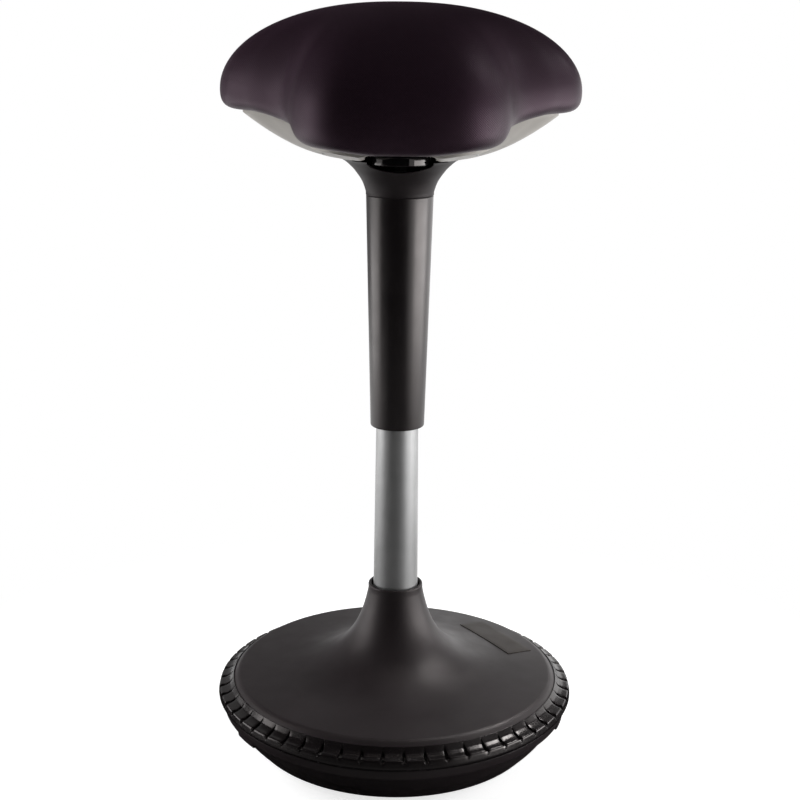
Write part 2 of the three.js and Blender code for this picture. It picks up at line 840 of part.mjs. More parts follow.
function valvePin() {
  const collarFoot = valveCollarTop - valveCollarHeight;
  return turned(
    [
      [0, valvePocketFoot - valvePinTail + gap],
      [valvePinRadius, valvePocketFoot - valvePinTail + gap],
      [valvePinRadius, collarFoot],
      [valveCollarRadius, collarFoot],
      [valveCollarRadius, valveCollarTop],
      [valvePinRadius, valveCollarTop],
      [valvePinRadius, cylinderTop + valvePinRise],
      [0, cylinderTop + valvePinRise],
    ],
    innerSides / 2,
  );
}

// The wire of the valve spring, wound between the pocket's floor and the pin's collar.
class SpringCurve extends THREE.Curve {
  constructor(radius, foot, height, turns) {
    super();
    Object.assign(this, { radius, foot, height, turns });
  }

  getPoint(t, target = new THREE.Vector3()) {
    const angle = 2 * Math.PI * this.turns * t;
    return target.set(
      this.radius * Math.cos(angle),
      this.radius * Math.sin(angle),
      this.foot + this.height * t,
    );
  }
}

function valveSpring() {
  const radius = (valvePocketRadius + valvePinRadius) / 2;
  const foot = valvePocketFoot + gap + valveSpringWire;
  const top = valveCollarTop - valveCollarHeight - gap - valveSpringWire;
  const curve = new SpringCurve(radius, foot, top - foot, valveSpringTurns);
  const section = new THREE.Shape();
  section.absarc(0, 0, valveSpringWire, 0, 2 * Math.PI);
  return new THREE.ExtrudeGeometry(section, {
    steps: smallSides * valveSpringTurns,
    curveSegments: 2,
    extrudePath: curve,
  });
}

// Sleeve and head

function columnSleeve() {
  return tube(
    [
      [sleeveBottomRadius - sleeveRounding, sleeveBottom],
      [sleeveBottomRadius, sleeveBottom + sleeveRounding],
      [sleeveTopRadius, sleeveTop - gap],
    ],
    [
      [sleeveBottomRadius - sleeveWall, sleeveBottom],
      [sleeveBottomRadius - sleeveWall, sleeveBottom + sleeveRounding],
      [sleeveTopRadius - sleeveWall, sleeveTop - gap],
    ],
    sides,
  );
}

const headPostPlaces = onCircle(3, headPostCircle, 90);

function columnHead() {
  const spigotFoot = sleeveTop - headSpigot;
  const outer = headShares.map(([out, up]) => [
    THREE.MathUtils.lerp(headNeckRadius, headRimRadius, out),
    THREE.MathUtils.lerp(sleeveTop, headRim, up),
  ]);
  const inner = inward(outer, headWall).filter(([, height]) => height < headRim - headWall / 2);
  const wall = tube(
    [
      [sleeveInnerAt(spigotFoot) - gap, spigotFoot],
      [sleeveInnerAt(sleeveTop) - gap, sleeveTop],
      ...outer,
    ],
    [
      [sleeveInnerAt(spigotFoot) - headWall, spigotFoot],
      [sleeveInnerAt(sleeveTop) - headWall, sleeveTop],
      ...inner.slice(2),
      [headRimInnerRadius, headRim],
    ],
    sides,
  );
  const floorFoot = sleeveTop + headFloorHeight;
  const bore = socketRadius + gap;
  const floor = straightTube(headFloorRadius, bore, floorFoot, headFloorThickness, sides);
  const postHeight = seatPlateFoot - gap - floorFoot;
  const posts = rounds(headPostPlaces, headPostRadius, floorFoot, postHeight);
  const holes = holesThrough(headPostPlaces, headScrewRadius, floorFoot, postHeight);
  return cut(join(wall, floor, ...posts), windowCutter(), ...holes);
}

// The finger window: open at the top, with a floor that dips in the middle.
function windowCutter() {
  const shape = new THREE.Shape();
  const top = headHeight + overrun;
  shape.moveTo(windowHalfWidth, top);
  shape.lineTo(-windowHalfWidth, top);
  shape.lineTo(-windowHalfWidth, windowSideHeight);
  for (let i = 1; i <= windowSteps; i++) {
    const share = -1 + (2 * i) / windowSteps;
    const dip = (windowSideHeight - windowMiddleHeight) * (1 - share ** 2);
    shape.lineTo(windowHalfWidth * share, windowSideHeight - dip);
  }
  const depth = headRimRadius - headPostCircle;
  const cutter = new THREE.ExtrudeGeometry(shape, { depth, bevelEnabled: false });
  return cutter.rotateX(Math.PI / 2).translate(0, -headPostCircle, sleeveTop);
}

// Seat plate, socket and lever

const ears = () =>
  [-1, 1].map((side) => {
    const near = leverArmHalfWidth + leverRunning;
    const x = [side * near, side * (near + earThickness)].sort((a, b) => a - b);
    return block(
      [x[0], -leverPivot - earHalfLength, leverHeight - earHalfLength],
      [x[1], -leverPivot + earHalfLength, seatPlateFoot + seatPlateThickness / 2],
    );
  });

function acrossX(radius, halfLength) {
  const pin = new THREE.CylinderGeometry(radius, radius, 2 * halfLength, innerSides / 2);
  return pin.rotateZ(Math.PI / 2).translate(0, -leverPivot, leverHeight);
}

const seatBoltReach = seatPlateSize / 2 - seatBoltInset;
const seatBoltPlaces = onCircle(4, Math.hypot(seatBoltReach, seatBoltReach), 45);

function seatPlate() {
  const half = seatPlateSize / 2;
  const corner = half - seatPlateCorner;
  const shape = new THREE.Shape();
  shape.moveTo(-corner, -half);
  shape.lineTo(corner, -half);
  shape.lineTo(half, -corner);
  shape.lineTo(half, corner);
  shape.lineTo(corner, half);
  shape.lineTo(-corner, half);
  shape.lineTo(-half, corner);
  shape.lineTo(-half, -corner);
  const plate = new THREE.ExtrudeGeometry(shape, {
    depth: seatPlateThickness,
    bevelEnabled: false,
  }).translate(0, 0, seatPlateFoot);
  const bolts = holesThrough(seatBoltPlaces, seatBoltRadius, seatPlateFoot, seatPlateThickness);
  const screws = holesThrough(headPostPlaces, headScrewRadius, seatPlateFoot, seatPlateThickness);
  return cut(
    join(plate, ...ears()),
    ...bolts,
    ...screws,
    acrossX(leverPinRadius + gap, seatPlateSize),
  );
}

function taperSocket() {
  const foot = seatPlateFoot - gap - socketLength;
  const body = tube(
    [
      [socketRadius, foot],
      [socketRadius, seatPlateFoot - gap],
    ],
    [
      [cylinderRadius + gap, foot],
      [cylinderTopRadius + gap, cylinderTop],
      [cylinderTopRadius + gap, seatPlateFoot - gap],
    ],
    innerSides,
  );
  const halfWidth = leverArmHalfWidth + slotMargin;
  const slot = block(
    [-halfWidth, -socketRadius - overrun, cylinderTop + gap],
    [halfWidth, 0, seatPlateFoot + overrun],
  );
  return cut(body, slot);
}

const leverPin = () =>
  acrossX(leverPinRadius, leverArmHalfWidth + leverRunning + earThickness + leverPinEnd);

function releaseLever() {
  const armFoot = leverHeight - leverArmThickness / 2;
  const paddleFoot = headRim - paddleBelowRim;
  const front = [];
  const back = [];
  for (let i = 0; i <= paddleSteps; i++) {
    const x = paddleHalfWidth * (-1 + (2 * i) / paddleSteps);
    const y = -Math.sqrt(paddleFrontRadius ** 2 - x ** 2);
    front.push(new THREE.Vector2(x, y));
    back.push(new THREE.Vector2(x * paddleBackShare, y + paddleDepth));
  }
  const shape = new THREE.Shape([...front, ...back.reverse()]);
  const paddle = new THREE.ExtrudeGeometry(shape, {
    depth: paddleHeight - 2 * paddleRounding,
    bevelThickness: paddleRounding,
    bevelSize: paddleRounding,
    bevelOffset: -paddleRounding,
    bevelSegments: 2,
  }).translate(0, 0, paddleFoot + paddleRounding);
  const arm = block(
    [-leverArmHalfWidth, -paddleFrontRadius + paddleDepth - 2 * paddleRounding, armFoot],
    [leverArmHalfWidth, leverArmReach, armFoot + leverArmThickness],
  );
  const boss = acrossX(leverBossRadius, leverArmHalfWidth);
  const pinHole = acrossX(leverPinRadius + gap, leverArmHalfWidth + overrun);
  return cut(join(paddle, arm, boss), pinHole);
}

// Seat

// Stations round the seat: the widest line, the hem under it, and how far each belongs to the
// nose.
function seatOutline() {
  const half = outlineShares.map(([across, along, nose]) => {
    const reach = along < 0 ? noseReach : rearReach;
    return new THREE.Vector3(across * seatHalfWidth, along * reach, nose);
  });
  const mirrored = half.slice(1, -1).reverse().map((p) => new THREE.Vector3(-p.x, p.y, p.z));
  const curve = new THREE.CatmullRomCurve3([...half, ...mirrored], true, "centripetal");
  return Array.from({ length: seatStations }, (_, i) => {
    const p = curve.getPointAt(i / seatStations);
    const edge = new THREE.Vector2(p.x, p.y);
    const reach = edge.length();
    const direction = edge.clone().divideScalar(reach);
    const nose = THREE.MathUtils.clamp(p.z, 0, 1);
    const hemRise = THREE.MathUtils.lerp(wingHemRise, noseHemRise, nose);
    const edgeRise = THREE.MathUtils.lerp(wingEdgeRise, noseEdgeRise, nose);
    const oval = 1 / Math.hypot(direction.x / crownHalfWidth, direction.y / crownHalfLength);
    return {
      direction,
      reach,
      oval,
      hemReach: reach - hemInset,
      hemHeight: headRim + hemRise,
      edgeHeight: headRim + hemRise + edgeRise,
    };
  });
}

const stations = seatOutline();

const along = (station, reach, height) =>
  new THREE.Vector3(station.direction.x * reach, station.direction.y * reach, height);

// Rings of the cushion's surface from the crown to the hem.
function cushionRings() {
  const upper = upperAngles.map((degrees) => {
    const out = Math.sin(radians(degrees));
    const up = Math.cos(radians(degrees));
    const fluted = THREE.MathUtils.smoothstep(out, ...fadeShares);
    return stations.map((station) => {
      const reach = THREE.MathUtils.lerp(station.oval, station.reach, fluted);
      return along(station, reach * out, THREE.MathUtils.lerp(station.edgeHeight, crownHeight, up));
    });
  });
  const lower = lowerAngles.map((degrees) => {
    const out = Math.cos(radians(degrees));
    const down = Math.sin(radians(degrees));
    return stations.map((station) => {
      const reach = THREE.MathUtils.lerp(station.hemReach, station.reach, out);
      const height = THREE.MathUtils.lerp(station.edgeHeight, station.hemHeight, down);
      return along(station, reach, height);
    });
  });
  return [[new THREE.Vector3(0, 0, crownHeight)], ...upper, ...lower];
}

// The cushion's rings moved square to its surface into the cushion.
function insetRings(depth) {
  const rings = cushionRings();
  return rings.map((ring, i) => {
    if (ring.length === 1) return [ring[0].clone().setZ(crownHeight - depth)];
    const before = rings[i - 1];
    const after = rings[Math.min(i + 1, rings.length - 1)];
    return ring.map((spot, k) => {
      const next = ring[(k + 1) % ring.length];
      const previous = ring[(k + ring.length - 1) % ring.length];
      const around = next.clone().sub(previous);
      const across = after[k].clone().sub(before[k % before.length]);
      return spot.clone().addScaledVector(around.cross(across).normalize(), depth);
    });
  });
}

const circleRing = (radius, height) => stations.map((station) => along(station, radius, height));

// A ring of the bowl under the cushion, at a share of the way from its flat middle to the hem,
// lifted, and nowhere lower than the least height.
function bowlRing(share, lift, least) {
  return stations.map((station) => {
    const reach = THREE.MathUtils.lerp(shellHub, station.hemReach, share);
    const rise = (station.hemHeight - shellEdgeAir - shellWall - shellFoot) * share ** bowlPower;
    return along(station, reach, Math.max(shellFoot + rise + lift, least));
  });
}

const bowlRings = (shares, lift, least) => shares.map((share) => bowlRing(share, lift, least));

function seatCover() {
  return skin([...cushionRings(), ...insetRings(coverThickness).reverse()].reverse());
}

// Four spots in the bowl, with the height of its underside there.
const shellScrewPlaces = shellScrewTurns.map((turn) => {
  const spot = bowlRing(shellScrewShare, 0, shellFoot)[Math.round(turn * seatStations)];
  return [spot.x, spot.y, spot.z];
});

function seatShell() {
  const shares = [0, ...bowlShares];
  const bowl = skin([
    circleRing(shellHole, shellFoot),
    ...bowlRings(shares, 0, shellFoot),
    ...bowlRings(shares, shellWall, shellFoot).reverse(),
    circleRing(shellHole, shellFoot + shellWall),
  ]);
  const notch = block(
    [-shellNotchHalfWidth, -shellNotchReach, shellFoot - overrun],
    [shellNotchHalfWidth, 0, shellFoot + shellWall + shellNotchHalfWidth],
  );
  const bossTop = panFoot - gap;
  const bosses = shellScrewPlaces.map(([x, y, z]) =>
    disc(shellBossRadius, z, bossTop - z, smallSides).translate(x, y, 0),
  );
  const overBowl = skin([
    [new THREE.Vector3(0, 0, shellFoot)],
    ...bowlRings(shares, 0, shellFoot),
    [new THREE.Vector3(0, 0, crownHeight)],
  ]);
  const holes = shellScrewPlaces.flatMap(([x, y, z]) =>
    [
      disc(shellScrewHeadRadius + gap, 0, z + shellScrewHeadHeight + 2 * gap, smallSides),
      disc(shellScrewRadius + gap, 0, crownHeight, smallSides),
    ].map((hole) => hole.translate(x, y, 0)),
  );
  return cut(join(bowl, ...bosses.map((boss) => common(boss, overBowl))), notch, ...holes);
}

function seatPan() {
  const shares = bowlShares.slice(0, seatPanRings);
  const lift = shellWall + gap;
  const top = panFoot + seatPanWall;
  const pan = skin([
    [new THREE.Vector3(0, 0, panFoot)],
    ...bowlRings(shares, lift, panFoot),
    ...bowlRings(shares, lift + seatPanWall, top).reverse(),
    [new THREE.Vector3(0, 0, top)],
  ]);
  const bolts = rounds(seatBoltPlaces, seatBoltRadius + gap, 0, crownHeight);
  const screws = rounds(shellScrewPlaces, shellScrewRadius + gap, 0, crownHeight);
  return cut(pan, ...bolts, ...screws);
}

function seatFoam() {
  const shares = bowlShares.slice(0, seatPanRings);
  const lift = shellWall + gap + seatPanWall + gap;
  const floor = panFoot + seatPanWall + gap;
  const underside = bowlRings(shares, lift, floor).reverse();
  const upper = insetRings(coverThickness + gap);
  return skin([...upper, ...underside, [new THREE.Vector3(0, 0, floor)]].reverse());
}

// Assembly

const stool = new THREE.Group();
const base = new THREE.Group();
const column = new THREE.Group();
const seat = new THREE.Group();
stool.add(base, column, seat);

piece(base, "base_pan", basePan(), blackPlastic);
piece(base, "ballast_disc", ballastDisc(), castIron);
piece(base, "hub_plate", hubPlate(), steel);
piece(base, "hub_tube", hubTube(), steel);
piece(base, "base_cover", baseCover(), blackPlastic);
piece(base, "blank_plate", blankPlate(), bareBlack);
piece(base, "tread_ring", treadRing(), rubber);

hubBoltPlaces.forEach(([x, y], i) => {
  const length = hubPlateFoot + hubPlateThickness - panWall - gap;
  const bolt = screw(hubBoltHeadRadius, hubBoltHeadHeight, hubBoltRadius, length);
  const mesh = piece(base, "hub_bolt_" + (i + 1), bolt, steel);
  mesh.rotation.x = Math.PI;
  mesh.position.set(x, y, hubPlateFoot + hubPlateThickness + gap + hubBoltHeadHeight);
});

coverPostPlaces.forEach(([x, y], i) => {
  const bolt = screw(
    coverScrewHeadRadius,
    coverScrewHeadHeight,
    coverScrewRadius,
    coverScrewLength,
  );
  piece(base, "cover_screw_" + (i + 1), bolt, steel).position.set(x, y, coverScrewFoot);
});

piece(column, "column_tube", columnTube(), silverPaint);
piece(column, "column_bush", columnBush(), guidePlastic);
piece(column, "column_end_plate", endPlate(), steel);
piece(column, "lower_race", race(lowerRaceFoot), steel);
piece(column, "ball_cage", ballCage(), guidePlastic);
ballPlaces.forEach(([x, y], i) => {
  const ball = new THREE.SphereGeometry(ballRadius, smallSides, ballRings).rotateX(Math.PI / 2);
  piece(column, "bearing_ball_" + (i + 1), ball, steel).position.set(x, y, ballHeight);
});
piece(column, "upper_race", race(upperRaceFoot), steel);
piece(column, "bump_stop", bumpStop(), rubber);
piece(column, "rod_clip", rodClip(), steel);
piece(column, "piston_rod", pistonRod(), steel);
piece(column, "piston", piston(), guidePlastic);

piece(seat, "gas_cylinder", gasCylinder(), blackPlastic);
piece(seat, "cylinder_gland", cylinderGland(), guidePlastic);
piece(seat, "valve_body", valveBody(), steel);
piece(seat, "valve_pin", valvePin(), steel);
piece(seat, "valve_spring", valveSpring(), steel);
piece(seat, "taper_socket", taperSocket(), steel);
piece(seat, "seat_plate", seatPlate(), steel);
piece(seat, "lever_pin", leverPin(), steel);
piece(seat, "release_lever", releaseLever(), glossBlack);
piece(seat, "column_sleeve", columnSleeve(), blackPlastic);
piece(seat, "column_head", columnHead(), blackPlastic);
piece(seat, "seat_shell", seatShell(), shellPlastic);
piece(seat, "seat_pan", seatPan(), guidePlastic);
piece(seat, "seat_foam", seatFoam(), foam);
piece(seat, "seat_cover", seatCover(), fabric);

seatBoltPlaces.forEach(([x, y], i) => {
  const length = seatPlateThickness + 2 * gap + seatPanWall - gap;
  const bolt = screw(seatBoltHeadRadius, seatBoltHeadHeight, seatBoltRadius, length);
  const foot = seatPlateFoot - gap - seatBoltHeadHeight;
  piece(seat, "seat_bolt_" + (i + 1), bolt, steel).position.set(x, y, foot);
});

headPostPlaces.forEach(([x, y], i) => {
  const head = sleeveTop + headFloorHeight - gap - headScrewHeadHeight;
  const length = seatPlateFoot + seatPlateThickness - (head + headScrewHeadHeight);
  const bolt = screw(headScrewHeadRadius, headScrewHeadHeight, headScrewRadius, length);
  piece(seat, "head_screw_" + (i + 1), bolt, steel).position.set(x, y, head);
});

shellScrewPlaces.forEach(([x, y, z], i) => {
  const foot = z + gap;
  const length = panFoot + seatPanWall - gap - foot - shellScrewHeadHeight;
  const bolt = screw(shellScrewHeadRadius, shellScrewHeadHeight, shellScrewRadius, length);
  piece(seat, "shell_screw_" + (i + 1), bolt, steel).position.set(x, y, foot);
});

export default stool;
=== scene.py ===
# A wobble stool dressed for its picture: finer meshes for what shows, a fabric cushion, finishes
# made of nodes, a pale studio and a camera. Profiles and sizes are millimetres in the frame of the
# solids, and they become metres where a mesh is made.

import json
import math

import bmesh
import bpy
from mathutils import Matrix, Vector
from mathutils.kdtree import KDTree


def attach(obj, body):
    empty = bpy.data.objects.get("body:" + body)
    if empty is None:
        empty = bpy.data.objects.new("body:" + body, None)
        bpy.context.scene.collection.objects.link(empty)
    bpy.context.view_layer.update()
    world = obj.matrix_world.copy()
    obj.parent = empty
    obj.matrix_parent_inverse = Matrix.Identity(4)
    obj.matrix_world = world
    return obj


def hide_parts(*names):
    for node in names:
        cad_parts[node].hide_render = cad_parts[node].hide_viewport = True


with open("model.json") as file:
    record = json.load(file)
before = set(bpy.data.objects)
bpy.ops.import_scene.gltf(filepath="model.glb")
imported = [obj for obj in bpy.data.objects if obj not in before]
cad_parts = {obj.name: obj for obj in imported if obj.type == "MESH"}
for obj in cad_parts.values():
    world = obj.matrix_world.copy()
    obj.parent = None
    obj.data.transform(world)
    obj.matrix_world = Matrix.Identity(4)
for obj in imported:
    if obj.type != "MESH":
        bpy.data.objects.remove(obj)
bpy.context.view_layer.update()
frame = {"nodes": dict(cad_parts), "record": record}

nodes = frame["nodes"]
MM = 0.001
TAU = 2 * math.pi
SHARP = 32
scene = bpy.context.scene


# Camera

PHOTO_SIZE = 800
FOCAL_PIXELS = 1450
SENSOR = 36
CAMERA_DISTANCE = 1558.5
CAMERA_HEIGHT = 820.8
CAMERA_PITCH = 14.72
CAMERA_YAW = -0.1
CAMERA_ROLL = 0.68


def make_camera():
    data = bpy.data.cameras.new("photo_camera")
    data.sensor_width = SENSOR
    data.sensor_fit = "HORIZONTAL"
    data.lens = SENSOR * FOCAL_PIXELS / PHOTO_SIZE
    camera = bpy.data.objects.new("photo_camera", data)
    scene.collection.objects.link(camera)
    place = Matrix.Translation(Vector((0, -CAMERA_DISTANCE, CAMERA_HEIGHT)) * MM)
    yaw = Matrix.Rotation(math.radians(CAMERA_YAW), 4, "Z")
    pitch = Matrix.Rotation(math.radians(90 - CAMERA_PITCH), 4, "X")
    roll = Matrix.Rotation(math.radians(CAMERA_ROLL), 4, "Z")
    camera.matrix_world = place @ yaw @ pitch @ roll
    scene.camera = camera


# Mesh helpers


def lerp(a, b, share):
    return a + (b - a) * share


def smooth(value, low, high):
    share = min(max((value - low) / (high - low), 0), 1)
    return share * share * (3 - 2 * share)


def shade(piece, angle=SHARP):
    """Smooth shading with an edge left sharp where it turns by more than the angle."""
    mesh = piece.data
    mesh.polygons.foreach_set("use_smooth", [True] * len(mesh.polygons))
    mesh.set_sharp_from_angle(angle=math.radians(angle))
    mesh.update()


def make_object(name, points, faces, angle=SHARP):
    mesh = bpy.data.meshes.new(name)
    mesh.from_pydata([[c * MM for c in point] for point in points], [], faces)
    mesh.validate()
    piece = bpy.data.objects.new(name, mesh)
    scene.collection.objects.link(piece)
    shade(piece, angle)
    return piece


def skin(name, rings, closed=False, angle=SHARP):
    """A skin over rings of points. A ring of one point closes that end; closed joins the ends."""
    points = []
    starts = []
    for ring in rings:
        starts.append(len(points))
        points.extend(ring)
    faces = []
    around = max(len(ring) for ring in rings)
    count = len(rings)
    for i in range(count if closed else count - 1):
        j = (i + 1) % count
        for k in range(around):
            n = (k + 1) % around
            corners = []
            for ring, step in ((i, k), (i, n), (j, n), (j, k)):
                corner = starts[ring] + (step if len(rings[ring]) > 1 else 0)
                if corner not in corners:
                    corners.append(corner)
            if len(corners) > 2:
                faces.append(corners)
    return make_object(name, points, faces, angle)


def eased(outline, steps=5):
    """An outline of (radius, height) pairs. A third value rounds that corner off by that much."""
    result = []
    count = len(outline)
    for i, spot in enumerate(outline):
        corner = Vector(spot[:2])
        if len(spot) < 3:
            result.append(tuple(corner))
            continue
        before = Vector(outline[i - 1][:2]) - corner
        after = Vector(outline[(i + 1) % count][:2]) - corner
        start = corner + before.normalized() * min(spot[2], before.length * 0.48)
        end = corner + after.normalized() * min(spot[2], after.length * 0.48)
        for step in range(steps + 1):
            t = step / steps
            result.append(tuple(start * (1 - t) ** 2 + corner * (2 * t * (1 - t)) + end * t * t))
    return result


def bezier(points, steps):
    """Points of a Bezier curve of any degree, both ends with them."""
    result = []
    for step in range(steps + 1):
        level = [Vector(p) for p in points]
        while len(level) > 1:
            level = [a.lerp(b, step / steps) for a, b in zip(level, level[1:])]
        result.append(tuple(level[0]))
    return result


def split(outline, length):
    """The outline with extra points, so that no side is much longer than the length."""
    result = []
    for a, b in zip(outline, outline[1:]):
        parts = max(1, round((Vector(b) - Vector(a)).length / length))
        result.extend(tuple(Vector(a).lerp(Vector(b), i / parts)) for i in range(parts))
    return result + [outline[-1]]


def on_ray(angle, radius, height):
    return (radius * math.cos(angle), radius * math.sin(angle), height)


def lathe(name, outline, segments, angle=SHARP):
    """A closed turned piece. The outline starts and ends on the axis, or its ends are joined."""
    solid = outline[0][0] < 1e-6
    rings = []
    for radius, height in outline:
        if radius < 1e-6:
            rings.append([(0, 0, height)])
        else:
            rings.append([on_ray(TAU * k / segments, radius, height) for k in range(segments)])
    return face_out(skin(name, rings, closed=not solid, angle=angle))


def face_out(piece):
    """The closed piece with every face turned outwards."""
    mesh = bmesh.new()
    mesh.from_mesh(piece.data)
    bmesh.ops.recalc_face_normals(mesh, faces=mesh.faces)
    if mesh.calc_volume(signed=True) < 0:
        bmesh.ops.reverse_faces(mesh, faces=mesh.faces)
    mesh.to_mesh(piece.data)
    mesh.free()
    return piece


def capped(piece):
    """The piece with its open ends closed and its faces turned outwards."""
    mesh = bmesh.new()
    mesh.from_mesh(piece.data)
    bmesh.ops.holes_fill(mesh, edges=mesh.edges)
    mesh.to_mesh(piece.data)
    mesh.free()
    return face_out(piece)


def applied(piece):
    """The piece's modifiers become its mesh."""
    view = bpy.context.evaluated_depsgraph_get()
    mesh = bpy.data.meshes.new_from_object(piece.evaluated_get(view))
    piece.modifiers.clear()
    old = piece.data
    piece.data = mesh
    bpy.data.meshes.remove(old)


def carve(piece, cutters, operation="DIFFERENCE", angle=SHARP):
    """Cuts the cutters out of the piece, or joins them to it, and removes them."""
    for cutter in cutters:
        step = piece.modifiers.new("carve", "BOOLEAN")
        step.operation = operation
        step.solver = "EXACT"
        step.object = cutter
    applied(piece)
    for cutter in cutters:
        bpy.data.objects.remove(cutter)
    shade(piece, angle)


def rod(place, radius, foot, height, segments=32):
    """A plain round solid along Z, as a cutter or a post."""
    rings = [
        [(place[0], place[1], foot)],
        [(place[0] + x, place[1] + y, foot) for x, y in circle(radius, segments)],
        [(place[0] + x, place[1] + y, foot + height) for x, y in circle(radius, segments)],
        [(place[0], place[1], foot + height)],
    ]
    return face_out(skin("rod", rings))


def circle(radius, segments):
    return [on_ray(TAU * k / segments, radius, 0)[:2] for k in range(segments)]


def places_round(count, radius, first_degrees):
    first = math.radians(first_degrees)
    return [on_ray(first + TAU * k / count, radius, 0)[:2] for k in range(count)]


def prism(name, outline, foot, top):
    """An upright solid over a flat outline of (x, y) pairs."""
    return capped(skin(name, [[(x, y, z) for x, y in outline] for z in (foot, top)]))


def block(low, high):
    """A plain box between two opposite corners."""
    corners = ((low[0], low[1]), (high[0], low[1]), (high[0], high[1]), (low[0], high[1]))
    return prism("block", corners, low[2], high[2])


def dress(piece, body, slot, *replaced, look=None):
    """Gives a piece its finish, hangs it on the body it rides on and hides the solids it stands
    for.
    """
    paint(piece, look or slot)
    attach(piece, body)
    if replaced:
        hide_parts(*replaced)


# Finishes


def paint(piece, finish):
    piece.data.materials.clear()
    piece.data.materials.append(finishes[finish].material)


def empty_tree(owner):
    """The node tree of a material or a world, with nothing in it."""
    owner.use_nodes = True
    owner.node_tree.nodes.clear()
    return owner.node_tree


def set_inputs(node, values):
    for name, value in values.items():
        node.inputs[name].default_value = value


def add_node(tree, kind, *sources, values=None, **settings):
    """A node with values on its inputs and its first sockets wired to the sources."""
    made = tree.nodes.new(kind)
    for key, value in settings.items():
        setattr(made, key, value)
    set_inputs(made, values or {})
    for socket, source in zip(made.inputs, sources):
        tree.links.new(source, socket)
    return made


class Finish:
    """One node material round a Principled shader."""

    def __init__(self, name, colour, roughness, metallic=0.0, specular=0.5, tint=(1, 1, 1)):
        self.material = bpy.data.materials.new(name)
        self.material.use_nodes = True
        self.tree = self.material.node_tree
        self.shader = self.tree.nodes["Principled BSDF"]
        values = {
            "Base Color": (*colour, 1),
            "Roughness": roughness,
            "Metallic": metallic,
            "Specular IOR Level": specular,
            "Specular Tint": (*tint, 1),
        }
        set_inputs(self.shader, values)
        self.colour = colour
        self.roughness = roughness
        self.place = self.node("ShaderNodeTexCoord").outputs["Object"]
        self.heights = []

    def node(self, kind, *sources, **details):
        return add_node(self.tree, kind, *sources, **details)

    def feed(self, value, socket):
        """Wires a source to the socket, or gives the socket a number or a colour."""
        if isinstance(value, bpy.types.NodeSocket):
            self.tree.links.new(value, socket)
        elif isinstance(value, (tuple, list)):
            socket.default_value = (*value, 1)
        else:
            socket.default_value = value

    def noise(self, scale, detail, stretch=(1, 1, 1)):
        mapping = self.node("ShaderNodeMapping", self.place, values={"Scale": stretch})
        values = {"Scale": scale, "Detail": detail}
        made = self.node("ShaderNodeTexNoise", mapping.outputs["Vector"], values=values)
        return made.outputs["Fac"]

    def spread(self, source, low, high, from_low=0.3, from_high=0.7):
        values = {"From Min": from_low, "From Max": from_high, "To Min": low, "To Max": high}
        return self.node("ShaderNodeMapRange", source, values=values).outputs["Result"]

    def math(self, operation, *values):
        made = self.node("ShaderNodeMath", operation=operation)
        for value, socket in zip(values, made.inputs):
            self.feed(value, socket)
        return made.outputs[0]

    def blend(self, share, first, second, blend_type="MIX"):
        made = self.node("ShaderNodeMix", data_type="RGBA", blend_type=blend_type)
        colours = [socket for socket in made.inputs if socket.type == "RGBA"]
        for value, socket in zip((share, first, second), (made.inputs["Factor"], *colours)):
            self.feed(value, socket)
        return [out for out in made.outputs if out.type == "RGBA"][0]

    def colour_by(self, source, amount):
        """The base colour, darker and lighter by the amount as the source goes from 0 to 1."""
        low = [c * (1 - amount) for c in self.colour]
        high = [min(c * (1 + amount), 1) for c in self.colour]
        self.feed(self.blend(source, low, high), self.shader.inputs["Base Color"])

    def roughness_by(self, source, amount):
        spread = self.spread(source, self.roughness - amount, self.roughness + amount)
        self.feed(spread, self.shader.inputs["Roughness"])

    def bump(self, source, depth):
        """Adds a bump whose depth is in millimetres."""
        made = self.node("ShaderNodeBump", values={"Strength": 1, "Distance": depth * MM})
        self.feed(source, made.inputs["Height"])
        if self.heights:
            self.feed(self.heights[-1], made.inputs["Normal"])
        self.heights.append(made.outputs["Normal"])
        self.feed(made.outputs["Normal"], self.shader.inputs["Normal"])


WARM = (1, 0.93, 0.91)


def moulded(name, colour, roughness, specular=0.5, grain=0.02, tone=0.12):
    """Moulded plastic with a fine spark-eroded grain and a little unevenness in its gloss."""
    made = Finish(name, colour, roughness, specular=specular, tint=WARM)
    made.colour_by(made.spread(made.noise(14, 2), 0, 1), tone)
    made.roughness_by(made.noise(40, 3), 0.04)
    made.bump(made.noise(1400, 2), grain)
    made.bump(made.noise(260, 2), grain * 0.8)
    return made


def metal(name, colour, roughness, brushed=(1, 1, 1), metallic=1.0, depth=0.01):
    made = Finish(name, colour, roughness, metallic=metallic)
    made.colour_by(made.spread(made.noise(30, 3), 0, 1), 0.08)
    streaks = made.noise(500, 4, stretch=brushed)
    made.roughness_by(streaks, 0.06)
    made.bump(streaks, depth)
    return made


# Colour, roughness, specular, grain in millimetres, unevenness of the colour
MOULDED = {
    "black_plastic": ((0.02, 0.0155, 0.017), 0.44, 0.5),
    "column_plastic": ((0.01, 0.008, 0.0088), 0.32, 0.75, 0.012),
    "head_plastic": ((0.018, 0.0145, 0.0158), 0.5, 0.3, 0.012),
    "plate": ((0.03, 0.024, 0.02), 0.5, 0.45, 0.008, 0.2),
    "tread_rubber": ((0.009, 0.0074, 0.0078), 0.24, 0.65, 0.02),
    "stop_rubber": ((0.02, 0.02, 0.02), 0.75, 0.3, 0.05),
    "guide_plastic": ((0.02, 0.02, 0.021), 0.5, 0.4),
    "shell_plastic": ((0.4, 0.378, 0.35), 0.42, 0.4, 0.015, 0.05),
    "lever_gloss": ((0.006, 0.0055, 0.006), 0.1, 0.5, 0.001, 0.1),
    "seat_foam": ((0.12, 0.11, 0.1), 0.9, 0.2, 0.2),
}
